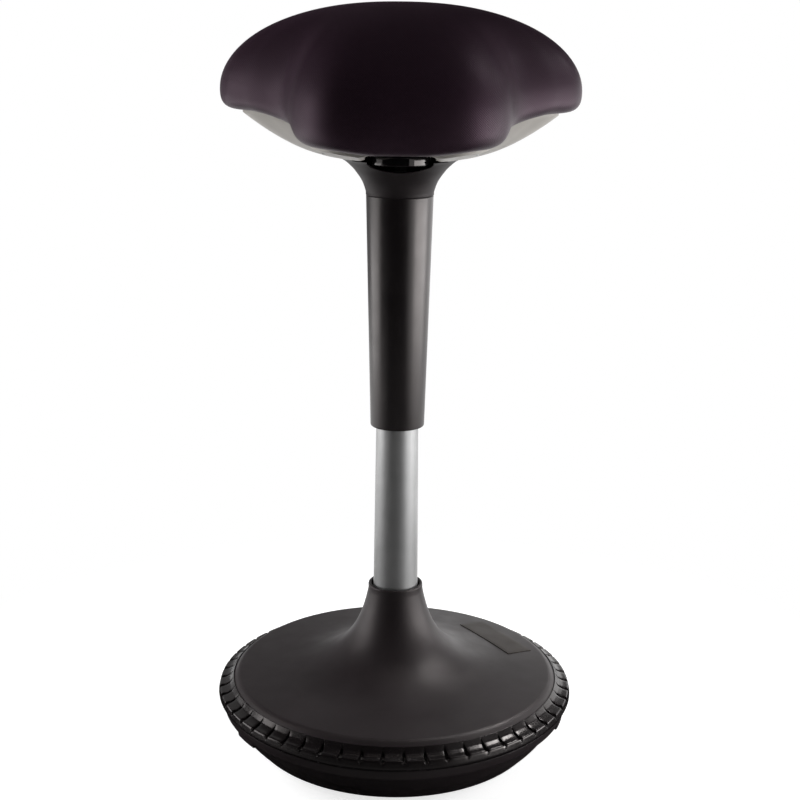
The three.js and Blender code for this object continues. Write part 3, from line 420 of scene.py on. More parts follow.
# Colour, roughness, stretch of the brush marks, metallic, depth of the marks in millimetres
METALS = {
    "silver_tube": ((0.47, 0.47, 0.47), 0.46, (1, 1, 0.02), 0.85),
    "steel": ((0.42, 0.425, 0.43), 0.34, (1, 0.05, 1)),
    "screw_steel": ((0.3, 0.305, 0.31), 0.4),
    "cast_iron": ((0.09, 0.09, 0.095), 0.7, (1, 1, 1), 0.8, 0.15),
    "cylinder_black": ((0.02, 0.02, 0.021), 0.35, (1, 1, 1), 0.4),
}

STITCH_LENGTH = 2.3
STITCH_DEPTH = 0.15
FUZZ_DEPTH = 0.08
# Shares of the colour that follow the stitch height, as painted shade in the hollows and painted
# light on the tops, and the random fibre fuzz
STITCH_SHADE_SHARE = 0.6
FUZZ_SHARE = 0.4


def knitted():
    """A fine crepe knit: diagonal rows of small stitches, with a sheen on its fibres. Its colour
    has painted shade in the stitch hollows and painted light on the stitch tops, and a random tone
    from the fibre fuzz.
    """
    made = Finish("seat_fabric", (0.02, 0.0115, 0.0175), 0.44, specular=0.33, tint=(1, 0.66, 0.86))
    tint = (0.66, 0.45, 0.58, 1)
    set_inputs(made.shader, {"Sheen Weight": 0.05, "Sheen Roughness": 0.42, "Sheen Tint": tint})
    x, y, z = made.node("ShaderNodeSeparateXYZ", made.place).outputs
    geometry = made.node("ShaderNodeNewGeometry")
    normal = made.node("ShaderNodeSeparateXYZ", geometry.outputs["Normal"])
    facing = [made.math("POWER", made.math("ABSOLUTE", n), 4) for n in normal.outputs]
    total = made.math("ADD", made.math("ADD", facing[0], facing[1]), facing[2])
    stitch = TAU / (STITCH_LENGTH * MM)

    def rows(u, v):
        along = made.math("SINE", made.math("MULTIPLY", u, stitch))
        across = made.math("SINE", made.math("MULTIPLY", v, stitch))
        return made.math("MULTIPLY", along, across)

    woven = None
    for weight, (u, v) in zip(facing, ((y, z), (x, z), (x, y))):
        share = made.math("MULTIPLY", rows(u, v), made.math("DIVIDE", weight, total))
        woven = share if woven is None else made.math("ADD", woven, share)
    height = made.spread(woven, 0, 1, -1, 1)
    fuzz = made.noise(900, 3)
    # The stitch height, used as painted shade and light in the colour
    stitch_shade = made.math("MULTIPLY", height, STITCH_SHADE_SHARE)
    fibres = made.math("MULTIPLY", fuzz, FUZZ_SHARE)
    mixed = made.math("ADD", stitch_shade, fibres)
    cloud = made.spread(made.noise(9, 2), 0, 1)
    tone = made.blend(cloud, (0.017, 0.0095, 0.0145), (0.023, 0.013, 0.02))
    # Painted shade in the stitch hollows and painted light on the stitch tops, with a random tone
    # from the fibre fuzz
    stitch_shade_and_fibre_tone = made.blend(mixed, (0.4, 0.4, 0.4), (1.7, 1.6, 1.66))
    made.feed(made.blend(1, tone, stitch_shade_and_fibre_tone, "MULTIPLY"), made.shader.inputs["Base Color"])
    made.bump(height, STITCH_DEPTH)
    made.bump(fuzz, FUZZ_DEPTH)
    return made


# Base

FINE = 192
ROCKER_RADIUS = 1086
FLAT_RADIUS = 45
RIM_SEAM = 64.3
COLLAR_TOP = 195.7
PAN_SKIN = 4
PAN_FACE_RADII = range(60, 151, 15)
PAN_INNER_RADII = (158, 130, 100, 70)
PAN_SHOULDER = 158
PAN_STEP = 6
# How many screws, how far from the axis, and the first one's turn in degrees
COVER_SCREWS = (4, 142, 45)
HEAD_SCREWS = (3, 35, 90)


def rocker(radius):
    """Height of the rounded underside above the floor, past the small flat in its middle."""
    flat_drop = math.sqrt(ROCKER_RADIUS**2 - FLAT_RADIUS**2)
    return flat_drop - math.sqrt(ROCKER_RADIUS**2 - radius**2)


# Azimuth from the camera's side, half the turn, foot and reach of each tab under the band
TABS = [(-56.5, 5, 47.3, 197), (73, 4, 47, 197.6)]
TAB_STEPS = 6


def tab(azimuth, half, foot, reach):
    """A low tab under the pan's band, at an azimuth from the camera's side."""
    outline = eased([(182, foot + 2, 1), (reach - 1, foot, 1.5), (reach, 54, 0.5), (182, 56)])
    rings = []
    for i in range(TAB_STEPS + 1):
        turn = math.radians(azimuth - 90 + lerp(-half, half, i / TAB_STEPS))
        rings.append([on_ray(turn, radius, height) for radius, height in outline])
    return capped(skin("tab", rings))


def make_pan():
    """The pan: rounded underside, band and inner face, with sunk holes for the cover screws."""
    under = [(r, rocker(r)) for r in PAN_FACE_RADII]
    shoulder = rocker(PAN_SHOULDER)
    outline = [(0, 0), (44, 0), (46, rocker(46)), *under, (PAN_SHOULDER, shoulder, 6)]
    outline += [(163.5, shoulder + 3.2, 3), (180, 31.6, 8), (193.5, 53, 1.2), (197.5, 53, 1.4)]
    outline += [(199.5, 64, 0.6), (181, 64), (181, 60), (189.5, 60), (189.5, 53), (176, 33.6)]
    outer = eased(outline + [(PAN_SHOULDER, shoulder + 5.2)])
    inner = [(r - 5, rocker(r) + PAN_SKIN) for r in PAN_INNER_RADII]
    pan = lathe("pan_skin", split(outer, PAN_STEP) + inner + [(0, PAN_SKIN)], FINE)
    carve(pan, [tab(*row) for row in TABS], "UNION")
    spots = places_round(*COVER_SCREWS)
    ceiling = rocker(COVER_SCREWS[1]) + 4.5
    posts = [rod(spot, 6.5, ceiling - 3.5, 7.5) for spot in spots]
    carve(pan, posts, "UNION")
    pockets = [rod(spot, 4.7, -2, 2 + ceiling) for spot in spots]
    holes = [rod(spot, 2.7, 0, 30) for spot in spots]
    carve(pan, pockets + holes)
    return pan


def cover_outline(steps):
    """The cover's rounded edge and its flared face, as (radius, height) pairs going inwards."""
    edge = eased([(186.2, 80), (186.2, 84.8, 0.6), (180.4, 90.3, 5.6), (174.4, 90.9)], 8)[1:]
    flare = bezier([(130, 95.6), (62, 104), (41, 137), (31, 189)], steps)
    return edge, flare


COVER_EDGE, COVER_FLARE = cover_outline(160)
COVER_LINE = COVER_EDGE[-1:] + COVER_FLARE


def cover_height(radius):
    """Height of the cover's face at a radius inside its rounded edge."""
    for a, b in zip(COVER_LINE, COVER_LINE[1:]):
        if a[0] >= radius >= b[0]:
            return lerp(a[1], b[1], (a[0] - radius) / (a[0] - b[0]))
    return COVER_LINE[0][1]


PLATE_AZIMUTH = 32.5
PLATE_RADIUS = 144.5
PLATE_LENGTH = 100
PLATE_WIDTH = 34
PLATE_GRID = (13, 33)
PLATE_ROUNDING = 1.2


def plate_slab(name, upper, lower, margin, rounding):
    """A thin slab that follows the cover's face, between two depths under it."""
    half = (PLATE_WIDTH / 2 + margin, PLATE_LENGTH / 2 + margin)
    turn = Matrix.Rotation(math.radians(PLATE_AZIMUTH), 2)
    across, along = PLATE_GRID
    points = []
    for depth in (upper, lower):
        for i in range(across):
            for j in range(along):
                u = lerp(-1, 1, i / (across - 1))
                v = lerp(-1, 1, j / (along - 1))
                spot = turn @ Vector((PLATE_RADIUS + u * half[0], v * half[1]))
                edge = min((1 - abs(u)) * half[0], (1 - abs(v)) * half[1])
                drop = rounding * (1 - smooth(edge, 0, PLATE_ROUNDING)) if depth == upper else 0
                points.append((spot.x, spot.y, cover_height(spot.length) - depth - drop))
    faces = []
    size = across * along

    def at(level, i, j):
        return level * size + i * along + j

    for i in range(across - 1):
        for j in range(along - 1):
            top = [at(0, i, j), at(0, i + 1, j), at(0, i + 1, j + 1), at(0, i, j + 1)]
            faces.append(top)
            faces.append([corner + size for corner in reversed(top)])
    rim = [(i, 0) for i in range(across - 1)] + [(across - 1, j) for j in range(along - 1)]
    rim += [(across - 1 - i, along - 1 - j) for i, j in rim]
    for k, here in enumerate(rim):
        there = rim[(k + 1) % len(rim)]
        faces.append([at(0, *here), at(0, *there), at(1, *there), at(1, *here)])
    return face_out(make_object(name, points, faces, 60))


def make_cover():
    """The cover: a hollow turned shell with a shallow pocket for the plate."""
    edge, flare = cover_outline(56)
    inner = bezier([(130, 92.4), (60, 100.6), (38.5, 136), (28.4, 169)], 20)
    outline = [(186.2, RIM_SEAM), (186.2, 73), *edge, (160, 92.6), (145, 94.1), *flare]
    collar = [(31, 189), (30.9, COLLAR_TOP, 2.2), (27.6, COLLAR_TOP, 1.5), (27.6, 169.7)]
    outline += eased(collar)[1:]
    outline += [(r, z) for r, z in reversed(inner) if r > 28.2 and z < 168]
    outline += [(180, 86.6), (183, 83.5), (183, RIM_SEAM)]
    cover = lathe("cover_skin", outline, FINE, 50)
    carve(cover, [plate_slab("pocket", -6, 1.2, 0.25, 0)], angle=50)
    return cover


def make_plate():
    return plate_slab("plate_skin", -0.9, 0.95, -0.1, 0.25)


TREAD_PITCHES = 55
TREAD_SECTION = [(186.5, RIM_SEAM, 0.3), (186.5, 86.0, 0.5), (191.2, 80.5, 0.9)]
TREAD_SECTION += [(195.8, 78.0, 1.8), (202.0, 77.2, 1.9), (204, 68.6, 1.6)]
TREAD_SECTION += [(199.8, RIM_SEAM, 0.5)]
TREAD_STEP = 1.0
# Length along the section from the inner top, half the groove's width there, and its depth
GROOVE_RUN = [(0.6, 0.3, 0), (3, 0.7, 1.0), (6, 1.3, 3.4), (8.5, 1.8, 4.2), (12.4, 2.2, 3.6)]
GROOVE_RUN += [(15.5, 3.1, 3.6), (18.2, 3.3, 3.5), (20.4, 2.8, 2.4), (22.6, 0.6, 0)]
GROOVE_OFFSETS = [-1.2, -1, -0.91, -0.82, -0.72, -0.4, 0, 0.4, 0.72, 0.82, 0.91, 1, 1.2]
GROOVE_WALL = (0.68, 1.03)
RIDGE_STEPS = 5


def groove_at(run):
    """Half the groove's width and its depth, at a length along the section from the inner top."""
    for before, after in zip(GROOVE_RUN, GROOVE_RUN[1:]):
        if before[0] <= run <= after[0]:
            share = (run - before[0]) / (after[0] - before[0])
            return [lerp(a, b, share) for a, b in zip(before[1:], after[1:])]
    return GROOVE_RUN[0][1], 0


def make_tread():
    """A ring whose narrow grooves start in a point at the inner slope and end in a round scoop."""
    section = eased(TREAD_SECTION, 5)
    rows = [Vector(p) for p in split(section + section[:1], TREAD_STEP)[:-1]]
    count = len(rows)
    top = max(range(count), key=lambda i: rows[i].y)
    rings = []
    run = 0
    runs = {top: 0}
    for i in range(top + 1, count):
        run += (rows[i] - rows[i - 1]).length
        runs[i] = run
    for i, row in enumerate(rows):
        along = (rows[(i + 1) % count] - rows[i - 1]).normalized()
        inward = Vector((along.y, -along.x))
        half, most = groove_at(runs.get(i, 0))
        pitch = TAU * row.x / TREAD_PITCHES
        spots = [half * u for u in GROOVE_OFFSETS]
        ridge = range(1, RIDGE_STEPS)
        spots += [lerp(spots[-1], pitch + spots[0], k / RIDGE_STEPS) for k in ridge]
        ring = []
        for k in range(TREAD_PITCHES):
            middle = TAU * (k + 0.5) / TREAD_PITCHES - math.pi / 2
            for spot in spots:
                depth = most * (1 - smooth(abs(spot) / half, *GROOVE_WALL))
                radius = row.x + inward.x * depth
                height = row.y + inward.y * depth
                ring.append(on_ray(middle + spot / row.x, radius, height))
        rings.append(ring)
    return face_out(skin("tread_skin", rings, closed=True, angle=40))


# Column

TUBE_FOOT = 32.1
TUBE_TOP = 425.3
TUBE_WALL = 2
TUBE_CHAMFER = 0.6
TUBE_RADIUS = 25.25
TUBE_TAPER = 0.0097
SLEEVE_TOP = 639.0
RIM = 680.5
HEAD_RADII = (36.6, 74)
HEAD_FLARE_FOOT = 639.3
HEAD_WALL = 3.2
POST_FOOT = 661.8


def tube_radius(height):
    return TUBE_RADIUS + (COLLAR_TOP - height) * TUBE_TAPER


def make_tube():
    """The tube, which narrows a little towards its top."""
    heights = (TUBE_FOOT, 100, COLLAR_TOP, 300, TUBE_TOP - TUBE_CHAMFER)
    outer = [(tube_radius(z), z) for z in heights]
    lip = [(tube_radius(TUBE_TOP) - TUBE_CHAMFER, TUBE_TOP)]
    inner = [(tube_radius(z) - TUBE_WALL, z) for z in (TUBE_TOP, TUBE_FOOT)]
    return lathe("tube_skin", outer + lip + inner, 128, 40)


def make_sleeve():
    """The sleeve, a tapered shell that is widest where it meets the head."""
    outline = [(29.9, 383.3, 1.6), (36.3, SLEEVE_TOP, 1.3), (33.3, SLEEVE_TOP)]
    outline += [(26.9, 384.8), (27.0, 383.3, 0.4)]
    return lathe("sleeve_skin", eased(outline, 6), 160, 40)


# The flare's shares of the way out and up, from its foot to its rim
HEAD_SHARES = [(0, 0), (0.01, 0.105), (0.115, 0.36), (0.315, 0.62), (0.452, 0.752)]
HEAD_SHARES += [(0.615, 0.876), (0.786, 0.95), (1, 1)]


def spline(points, steps):
    """An open smooth curve through the points."""
    spots = [Vector(p) for p in points]
    spots = [spots[0] * 2 - spots[1]] + spots + [spots[-1] * 2 - spots[-2]]
    result = []
    for p0, p1, p2, p3 in zip(spots, spots[1:], spots[2:], spots[3:]):
        for step in range(steps):
            t = step / steps
            spot = p1 * 2 + (p2 - p0) * t
            spot += (p0 * 2 - p1 * 5 + p2 * 4 - p3) * t**2
            spot += (p1 * 3 - p0 - p2 * 3 + p3) * t**3
            result.append(tuple(spot / 2))
    return result + [tuple(spots[-2])]


def make_head():
    """The head: a flared shell with a web and screw posts inside, a window, slits and a bead."""
    flare = [(lerp(*HEAD_RADII, a), lerp(HEAD_FLARE_FOOT, RIM, b)) for a, b in HEAD_SHARES]
    outer = spline(flare, 6)
    inner = []
    for i in range(1, len(outer) - 1, 3):
        along = (Vector(outer[i + 1]) - Vector(outer[i - 1])).normalized()
        spot = Vector(outer[i]) + Vector((-along.y, along.x)) * HEAD_WALL
        if spot.y < 678.9:
            inner.append(tuple(spot))
    outline = [(32.7, 627.3), (32.9, 638.9), (36.2, SLEEVE_TOP), (HEAD_RADII[0], 639.5)]
    outline += outer[1:-1]
    rim = [outer[-2], (HEAD_RADII[1], RIM, 0.7), (62, RIM, 0.6), inner[-1]]
    outline += eased(rim, 4)[1:-1]
    outline += [*reversed(inner), (29.8, 638.9), (29.8, 627.3)]
    head = lathe("head_skin", outline, 160, 50)
    spots = places_round(*HEAD_SCREWS)
    posts = [rod(spot, 4.6, POST_FOOT, 27.4) for spot in spots]
    web = lathe("web", [(43.5, POST_FOOT), (43.5, 664.8), (21.3, 664.8), (21.3, POST_FOOT)], 96)
    carve(head, posts + [web], "UNION", 50)
    holes = [rod(spot, 2.5, 650, 50) for spot in spots]
    carve(head, [window_cutter()] + holes + slit_cutters(), angle=50)
    carve(head, [window_bead(outer)], "UNION", 50)
    return head


WINDOW_HALF = 34.6
WINDOW_FLOOR = 666.8
WINDOW_RISE = 7.5
WINDOW_SIDES = (676.5, 690.0)
WINDOW_STEPS = 24
BEAD_RADIUS = 0.75
BEAD_STEPS = 40


def window_floor(share):
    """Height of the window's lower edge, at a share of its half width."""
    return WINDOW_FLOOR + WINDOW_RISE * share**2 + smooth(abs(share), 0.9, 1) * 1.6


def window_bead(outer):
    """A thin moulded bead on the head's face, along the lower edge of the window."""
    path = []
    for i in range(BEAD_STEPS + 1):
        share = lerp(-1.02, 1.02, i / BEAD_STEPS)
        height = window_floor(share) - 0.5
        for a, b in zip(outer, outer[1:]):
            if a[1] <= height <= b[1]:
                radius = lerp(a[0], b[0], (height - a[1]) / (b[1] - a[1]))
        x = WINDOW_HALF * share
        path.append(Vector((x, -math.sqrt(radius**2 - x**2), height)))
    rings = [[path[0]]]
    for i in range(1, len(path) - 1):
        along = (path[i + 1] - path[i - 1]).normalized()
        side = along.cross(Vector((0, 0, 1))).normalized()
        over = side.cross(along)
        ring = []
        for a, b in circle(1, 10):
            ring.append(path[i] + side * a * BEAD_RADIUS + over * b * BEAD_RADIUS)
        rings.append(ring)
    rings.append([path[-1]])
    return face_out(skin("bead", rings))


def window_cutter():
    """The finger window: open at the top, with rounded corners over a floor that dips."""
    outline = [(-WINDOW_HALF, z) for z in reversed(WINDOW_SIDES)]
    for i in range(WINDOW_STEPS + 1):
        share = lerp(-1, 1, i / WINDOW_STEPS)
        outline.append((WINDOW_HALF * share, window_floor(share)))
    outline += [(WINDOW_HALF, z) for z in WINDOW_SIDES]
    rings = [[(x, y, z) for x, z in outline] for y in (-35, -80)]
    return capped(skin("window", rings))


def slit_cutters():
    """Shallow steps in the rim beside the window, which leave a dark line under the shell."""
    return [block((a, -80, 677.4), (b, -12, 682)) for a, b in ((-50, -31), (31, 50))]


# Lever

LEVER_PIN = (-27, 678)
LEVER_BEVEL = 1.8


def make_paddle():
    """The paddle: a rounded tongue with an arm behind it and an eye round the pin."""
    outline = [(31 * math.sin(a), -36 - 31 * math.cos(a)) for a in turns(-88, 88, 60)]
    outline = rounded_outline(outline + [(29.5, -34.5), (-29.5, -34.5)], 0.6)
    paddle = prism("paddle_skin", outline, 674.9, 684.3)
    bevel = paddle.modifiers.new("bevel", "BEVEL")
    bevel.width = LEVER_BEVEL * MM
    bevel.segments = 5
    bevel.limit_method = "ANGLE"
    bevel.angle_limit = math.radians(50)
    applied(paddle)
    arm = block((-9, -50, 675.5), (9, 5, 680.5))
    boss = cross_rod(4.8, 9)
    carve(paddle, [arm, boss], "UNION", 40)
    carve(paddle, [cross_rod(2.5, 12)], angle=40)
    return paddle


def turns(first, last, steps):
    return [math.radians(lerp(first, last, i / steps)) for i in range(steps + 1)]


def rounded_outline(points, reach):
    """The closed outline with its sharp corners rounded off."""
    spots = []
    count = len(points)
    for i, spot in enumerate(points):
        before = (Vector(points[i - 1]) - Vector(spot)).normalized()
        after = (Vector(points[(i + 1) % count]) - Vector(spot)).normalized()
        sharp = before.dot(after) > -0.8
        spots.append((*spot, reach) if sharp else spot)
    return eased(spots)


def cross_rod(radius, half):
    """A round solid along X at the lever's pin."""
    y, z = LEVER_PIN
    rings = [[(x, y + a, z + b) for a, b in circle(radius, 32)] for x in (-half, half)]
    return capped(skin("cross", rings))


# Seat

# Shares of the seat's half width and of its reach to nose or rear, then how much of a nose it is
OUTLINE_SHARES = [(0, -1, 1), (0.37, -0.96, 1), (0.535, -0.77, 0.9), (0.62, -0.47, 0.42)]
OUTLINE_SHARES += [(0.83, -0.25, 0.04), (0.965, -0.08, 0), (1, 0.13, 0), (0.965, 0.4, 0)]
OUTLINE_SHARES += [(0.8, 0.7, 0), (0.45, 0.93, 0), (0, 1, 0)]
HALF_WIDTH = 193.4
# To the nose and to the rear
REACHES = (172, 152)
CROWN = 837.3
SHELL_FOOT = 680.8
PAN_FOOT = 692.8
STATIONS = 240
NOSE_DIP = 4.6
NOSE_DIP_SPAN = (26, 88)
# Rises of the hem over the rim and of the widest line over the hem, first away from the nose
HEM_RISES = (46.5, 17)
EDGE_RISES = (21.6, 33)
HEM_INSET = 25
CROWN_OVAL = (186, 160)
CROWN_FULLNESS = (2.3, 1.95)
CROWN_RINGS = 30
HEM_RINGS = 12
CURVE_STEPS = 60


def closed_curve(points, count):
    """Points evenly spaced along a closed centripetal curve through the given ones."""
    fine = []
    total = len(points)
    for i in range(total):
        p = [Vector(points[(i + k) % total]) for k in (-1, 0, 1, 2)]
        d = [(b - a).length ** 0.5 for a, b in zip(p, p[1:])]
        t1 = (p[1] - p[0]) / d[0] - (p[2] - p[0]) / (d[0] + d[1]) + (p[2] - p[1]) / d[1]
        t2 = (p[2] - p[1]) / d[1] - (p[3] - p[1]) / (d[1] + d[2]) + (p[3] - p[2]) / d[2]
        t1 *= d[1]
        t2 *= d[1]
        for step in range(CURVE_STEPS):
            t = step / CURVE_STEPS
            c2 = (p[2] - p[1]) * 3 - t1 * 2 - t2
            c3 = (p[1] - p[2]) * 2 + t1 + t2
            fine.append(p[1] + t1 * t + c2 * t**2 + c3 * t**3)
    lengths = [0]
    for a, b in zip(fine, fine[1:] + fine[:1]):
        lengths.append(lengths[-1] + (b - a).length)
    result = []
    k = 0
    for i in range(count):
        want = lengths[-1] * i / count
        while lengths[k + 1] < want:
            k += 1
        share = (want - lengths[k]) / (lengths[k + 1] - lengths[k])
        result.append(fine[k].lerp(fine[(k + 1) % len(fine)], share))
    return result


def make_stations():
    """Places round the seat's outline, each with its reaches and heights."""
    half = [(x * HALF_WIDTH, y * REACHES[y >= 0], nose) for x, y, nose in OUTLINE_SHARES]
    mirrored = [(-x, y, nose) for x, y, nose in half[-2:0:-1]]
    stations = []
    for p in closed_curve(half + mirrored, STATIONS):
        reach = p.xy.length
        direction = p.xy.normalized()
        nose = min(max(p.z, 0), 1)
        dip = NOSE_DIP * (1 - smooth(abs(p.x), *NOSE_DIP_SPAN)) if p.y < 0 else 0
        hem = RIM + lerp(*HEM_RISES, nose)
        oval = 1 / math.hypot(direction.x / CROWN_OVAL[0], direction.y / CROWN_OVAL[1])
        station = {"direction": direction, "reach": reach, "oval": oval}
        station["hem_reach"] = reach - HEM_INSET
        station["hem"] = hem - dip
        station["edge"] = hem + lerp(*EDGE_RISES, nose)
        stations.append(station)
    return stations


def at_station(station, reach, height):
    direction = station["direction"]
    return Vector((direction.x * reach, direction.y * reach, height))


def cushion_rings(stations):
    """Rings of the cushion's face from crown to hem. It tucks in squarely over the hem."""
    rings = [[Vector((0, 0, CROWN))]]
    for i in range(1, CROWN_RINGS + 1):
        out = math.sin(math.radians(90 * i / CROWN_RINGS))
        up = max(1 - out**CROWN_FULLNESS[0], 0) ** (1 / CROWN_FULLNESS[1])
        fade = smooth(out, 0.35, 1)
        ring = []
        for s in stations:
            reach = lerp(s["oval"], s["reach"], fade) * out
            ring.append(at_station(s, reach, lerp(s["edge"], CROWN, up)))
        rings.append(ring)
    for i in range(1, HEM_RINGS + 1):
        down = math.sin(math.radians(90 * i / HEM_RINGS))
        out = (1 - down**3) ** (1 / 3)
        ring = []
        for s in stations:
            reach = lerp(s["hem_reach"], s["reach"], out)
            ring.append(at_station(s, reach, lerp(s["edge"], s["hem"], down)))
        rings.append(ring)
    return rings


def ring_normals(rings):
    normals = []
    for i, ring in enumerate(rings):
        if len(ring) == 1:
            normals.append([Vector((0, 0, 1))])
            continue
        before = rings[i - 1]
        after = rings[min(i + 1, len(rings) - 1)]
        row = []
        for k in range(len(ring)):
            around = ring[(k + 1) % len(ring)] - ring[k - 1]
            across = after[k] - before[k % len(before)]
            row.append(across.cross(around).normalized())
        normals.append(row)
    return normals


SHELL_WALL = 3
HEM_GAP = 0.3
BOWL_FLAT = 77
BOWL_POWER = 1.6


def bowl_ring(stations, share, lift, least):
    """A ring over the bowl's outer face, at a share of the way out from its flat bottom."""
    ring = []
    for s in stations:
        reach = lerp(BOWL_FLAT, s["hem_reach"], share)
        rise = (s["hem"] - HEM_GAP - SHELL_WALL - SHELL_FOOT) * share**BOWL_POWER
        ring.append(at_station(s, reach, max(SHELL_FOOT + rise + lift, least)))
    return ring


PAN_WALL = 4.5
PAN_LIFT = 3.3
PAN_SHARES = (0.3, 0.5, 0.64, 0.8, 0.92)
CUSHION_GAP = 0.6
CUSHION_LIFT = 8.6
UNDER_SHARES = (0.94, 0.8, 0.64, 0.45, 0.3)
CUSHION_SLACK = 1.6
CUSHION_VOXEL = 6
# Least and most that a point moves out, as shares of the slack
SWELLING_SPAN = (0.4, 1.8)
CUSHION_SMOOTHING = 30
CLOTH_PRESSURE = 4
CLOTH_QUALITY = 5
CLOTH_FRAMES = 20
NEIGHBOURS = 8


def make_cushion(stations):
    """The padded seat: its skin starts a little slack and a cloth simulation swells it."""
    rings = cushion_rings(stations)
    normals = ring_normals(rings)
    free = [smooth(ring_no, 0, 9) for ring_no in range(len(rings) - 1, -1, -1)]
    for ring, row, share in zip(rings, normals, free):
        for k, normal in enumerate(row):
            ring[k] = ring[k] - normal * CUSHION_SLACK * share
    floor = PAN_FOOT + PAN_WALL + CUSHION_GAP
    tuck = [at_station(s, s["hem_reach"] - 3.5, s["hem"] + 0.2) for s in stations]
    under = [bowl_ring(stations, share, CUSHION_LIFT, floor) for share in UNDER_SHARES]
    rings += [tuck, *under, [Vector((0, 0, floor))]]
    cushion = face_out(skin("seat_cushion", rings, angle=180))
    push = [share for share in free for _ in range(STATIONS)][STATIONS - 1 :]
    points = cushion.data.vertices
    push += [0] * (len(points) - len(push))
    normals = [v.normal.copy() for v in points]
    rises = swelling(cushion, push)
    for v, share, normal, rise in zip(points, push, normals, rises):
        v.co += normal * rise * share * MM
    finer = cushion.modifiers.new("finer", "SUBSURF")
    finer.levels = 1
    finer.render_levels = 1
    finer.use_limit_surface = False
    applied(cushion)
    shade(cushion, 180)
    return cushion


def nearest_of(spots):
    """A lookup that finds the nearest of the spots by their numbers."""
    lookup = KDTree(len(spots))
    for i, spot in enumerate(spots):
        lookup.insert(spot, i)
    lookup.balance()
    return lookup


def swelling(cushion, push):
    """How far each point moves out, in millimetres, as a cloth simulation fills the cushion."""
    points = cushion.data.vertices
    trial = cushion.copy()
    trial.data = cushion.data.copy()
    scene.collection.objects.link(trial)
    remesh = trial.modifiers.new("remesh", "REMESH")
    remesh.mode = "VOXEL"
    remesh.voxel_size = CUSHION_VOXEL * MM
    applied(trial)
    lookup = nearest_of([v.co for v in points])
    pins = trial.vertex_groups.new(name="pins")
    for v in trial.data.vertices:
        nearest = lookup.find(v.co)[1]
        pins.add([v.index], 1 - push[nearest], "REPLACE")
    rest = [v.co.copy() for v in trial.data.vertices]
    outward = [v.normal.copy() for v in trial.data.vertices]
    cloth = trial.modifiers.new("cloth", "CLOTH")
    settings = cloth.settings
    settings.use_pressure = True
    settings.uniform_pressure_force = CLOTH_PRESSURE
    settings.effector_weights.gravity = 0
    settings.vertex_group_mass = "pins"
    settings.quality = CLOTH_QUALITY
    cloth.point_cache.frame_start = 1
    cloth.point_cache.frame_end = CLOTH_FRAMES
    for step in range(1, CLOTH_FRAMES + 1):
        scene.frame_set(step)
    view = bpy.context.evaluated_depsgraph_get()
    moved = [v.co.copy() for v in trial.evaluated_get(view).data.vertices]
    scene.frame_set(1)
    bpy.data.objects.remove(trial)
    field = nearest_of(rest)
    rises = [(new - old).dot(normal) / MM for old, new, normal in zip(rest, moved, outward)]
    found = []
    for v in points:
        near = field.find_n(v.co, NEIGHBOURS)
        weights = [1 / (distance / MM + 2) for _, _, distance in near]
        found.append(sum(rises[i] * w for (_, i, _), w in zip(near, weights)) / sum(weights))
    free = [rise for rise, share in zip(found, push) if share > 0.5]
    gain = CUSHION_SLACK * len(free) / sum(free)
    low, high = (CUSHION_SLACK * share for share in SWELLING_SPAN)
    result = [min(max(rise * gain, low), high) for rise in found]
    beside = [[] for _ in points]
    for edge in cushion.data.edges:
        a, b = edge.vertices
        beside[a].append(b)
        beside[b].append(a)
    for _ in range(CUSHION_SMOOTHING):
        result = [
            lerp(rise, sum(result[i] for i in ring) / len(ring), 0.5)
            for rise, ring in zip(result, beside)
        ]
    return result


SCREW_TURNS = [0.15, 0.36, 0.64, 0.85]
SCREW_SHARE = 0.34
SCREW_HOLE = 2.2
SCREW_HEAD_HOLE = 4.0
SCREW_HEAD_DEPTH = 2.6
SEAT_BOLTS = (-39.95, 39.95)
SEAT_BOLT_HOLE = 3.2
DRILL_FOOT = 600
DRILL_HEIGHT = 200
DRILL_SIDES = 24
HUB_HOLE = 62
BOWL_STEPS = 20
OPENING_HALF = 36.5
OPENING_FRONT = -88
CHANNEL_START = -60
CHANNEL_SIDES = (33, 40)
CHANNEL_ROOF = 687.3
CHANNEL_SLOPE = 0.0915


def channelled(ring, thickness):
    """The ring lifted over the finger channel, which lets the paddle be seen from the front."""
    for spot in ring:
        beside = 1 - smooth(abs(spot.x), *CHANNEL_SIDES)
        roof = CHANNEL_ROOF + (OPENING_FRONT - spot.y) * CHANNEL_SLOPE + thickness
        if spot.y < CHANNEL_START and roof > spot.z:
            spot.z = lerp(spot.z, roof, beside)
    return ring


def drill(place, radius):
    """A round cutter that goes right through the shell and the pan."""
    return rod(place, radius, DRILL_FOOT, DRILL_HEIGHT, DRILL_SIDES)


def shell_screws(stations):
    """Places of the shell's screws on its outer face."""
    ring = bowl_ring(stations, SCREW_SHARE, 0, SHELL_FOOT)
    return [ring[round(turn * STATIONS)] for turn in SCREW_TURNS]


def channelled_bowl(stations, shares, lift, least, thickness):
    return [channelled(bowl_ring(stations, share, lift, least), thickness) for share in shares]


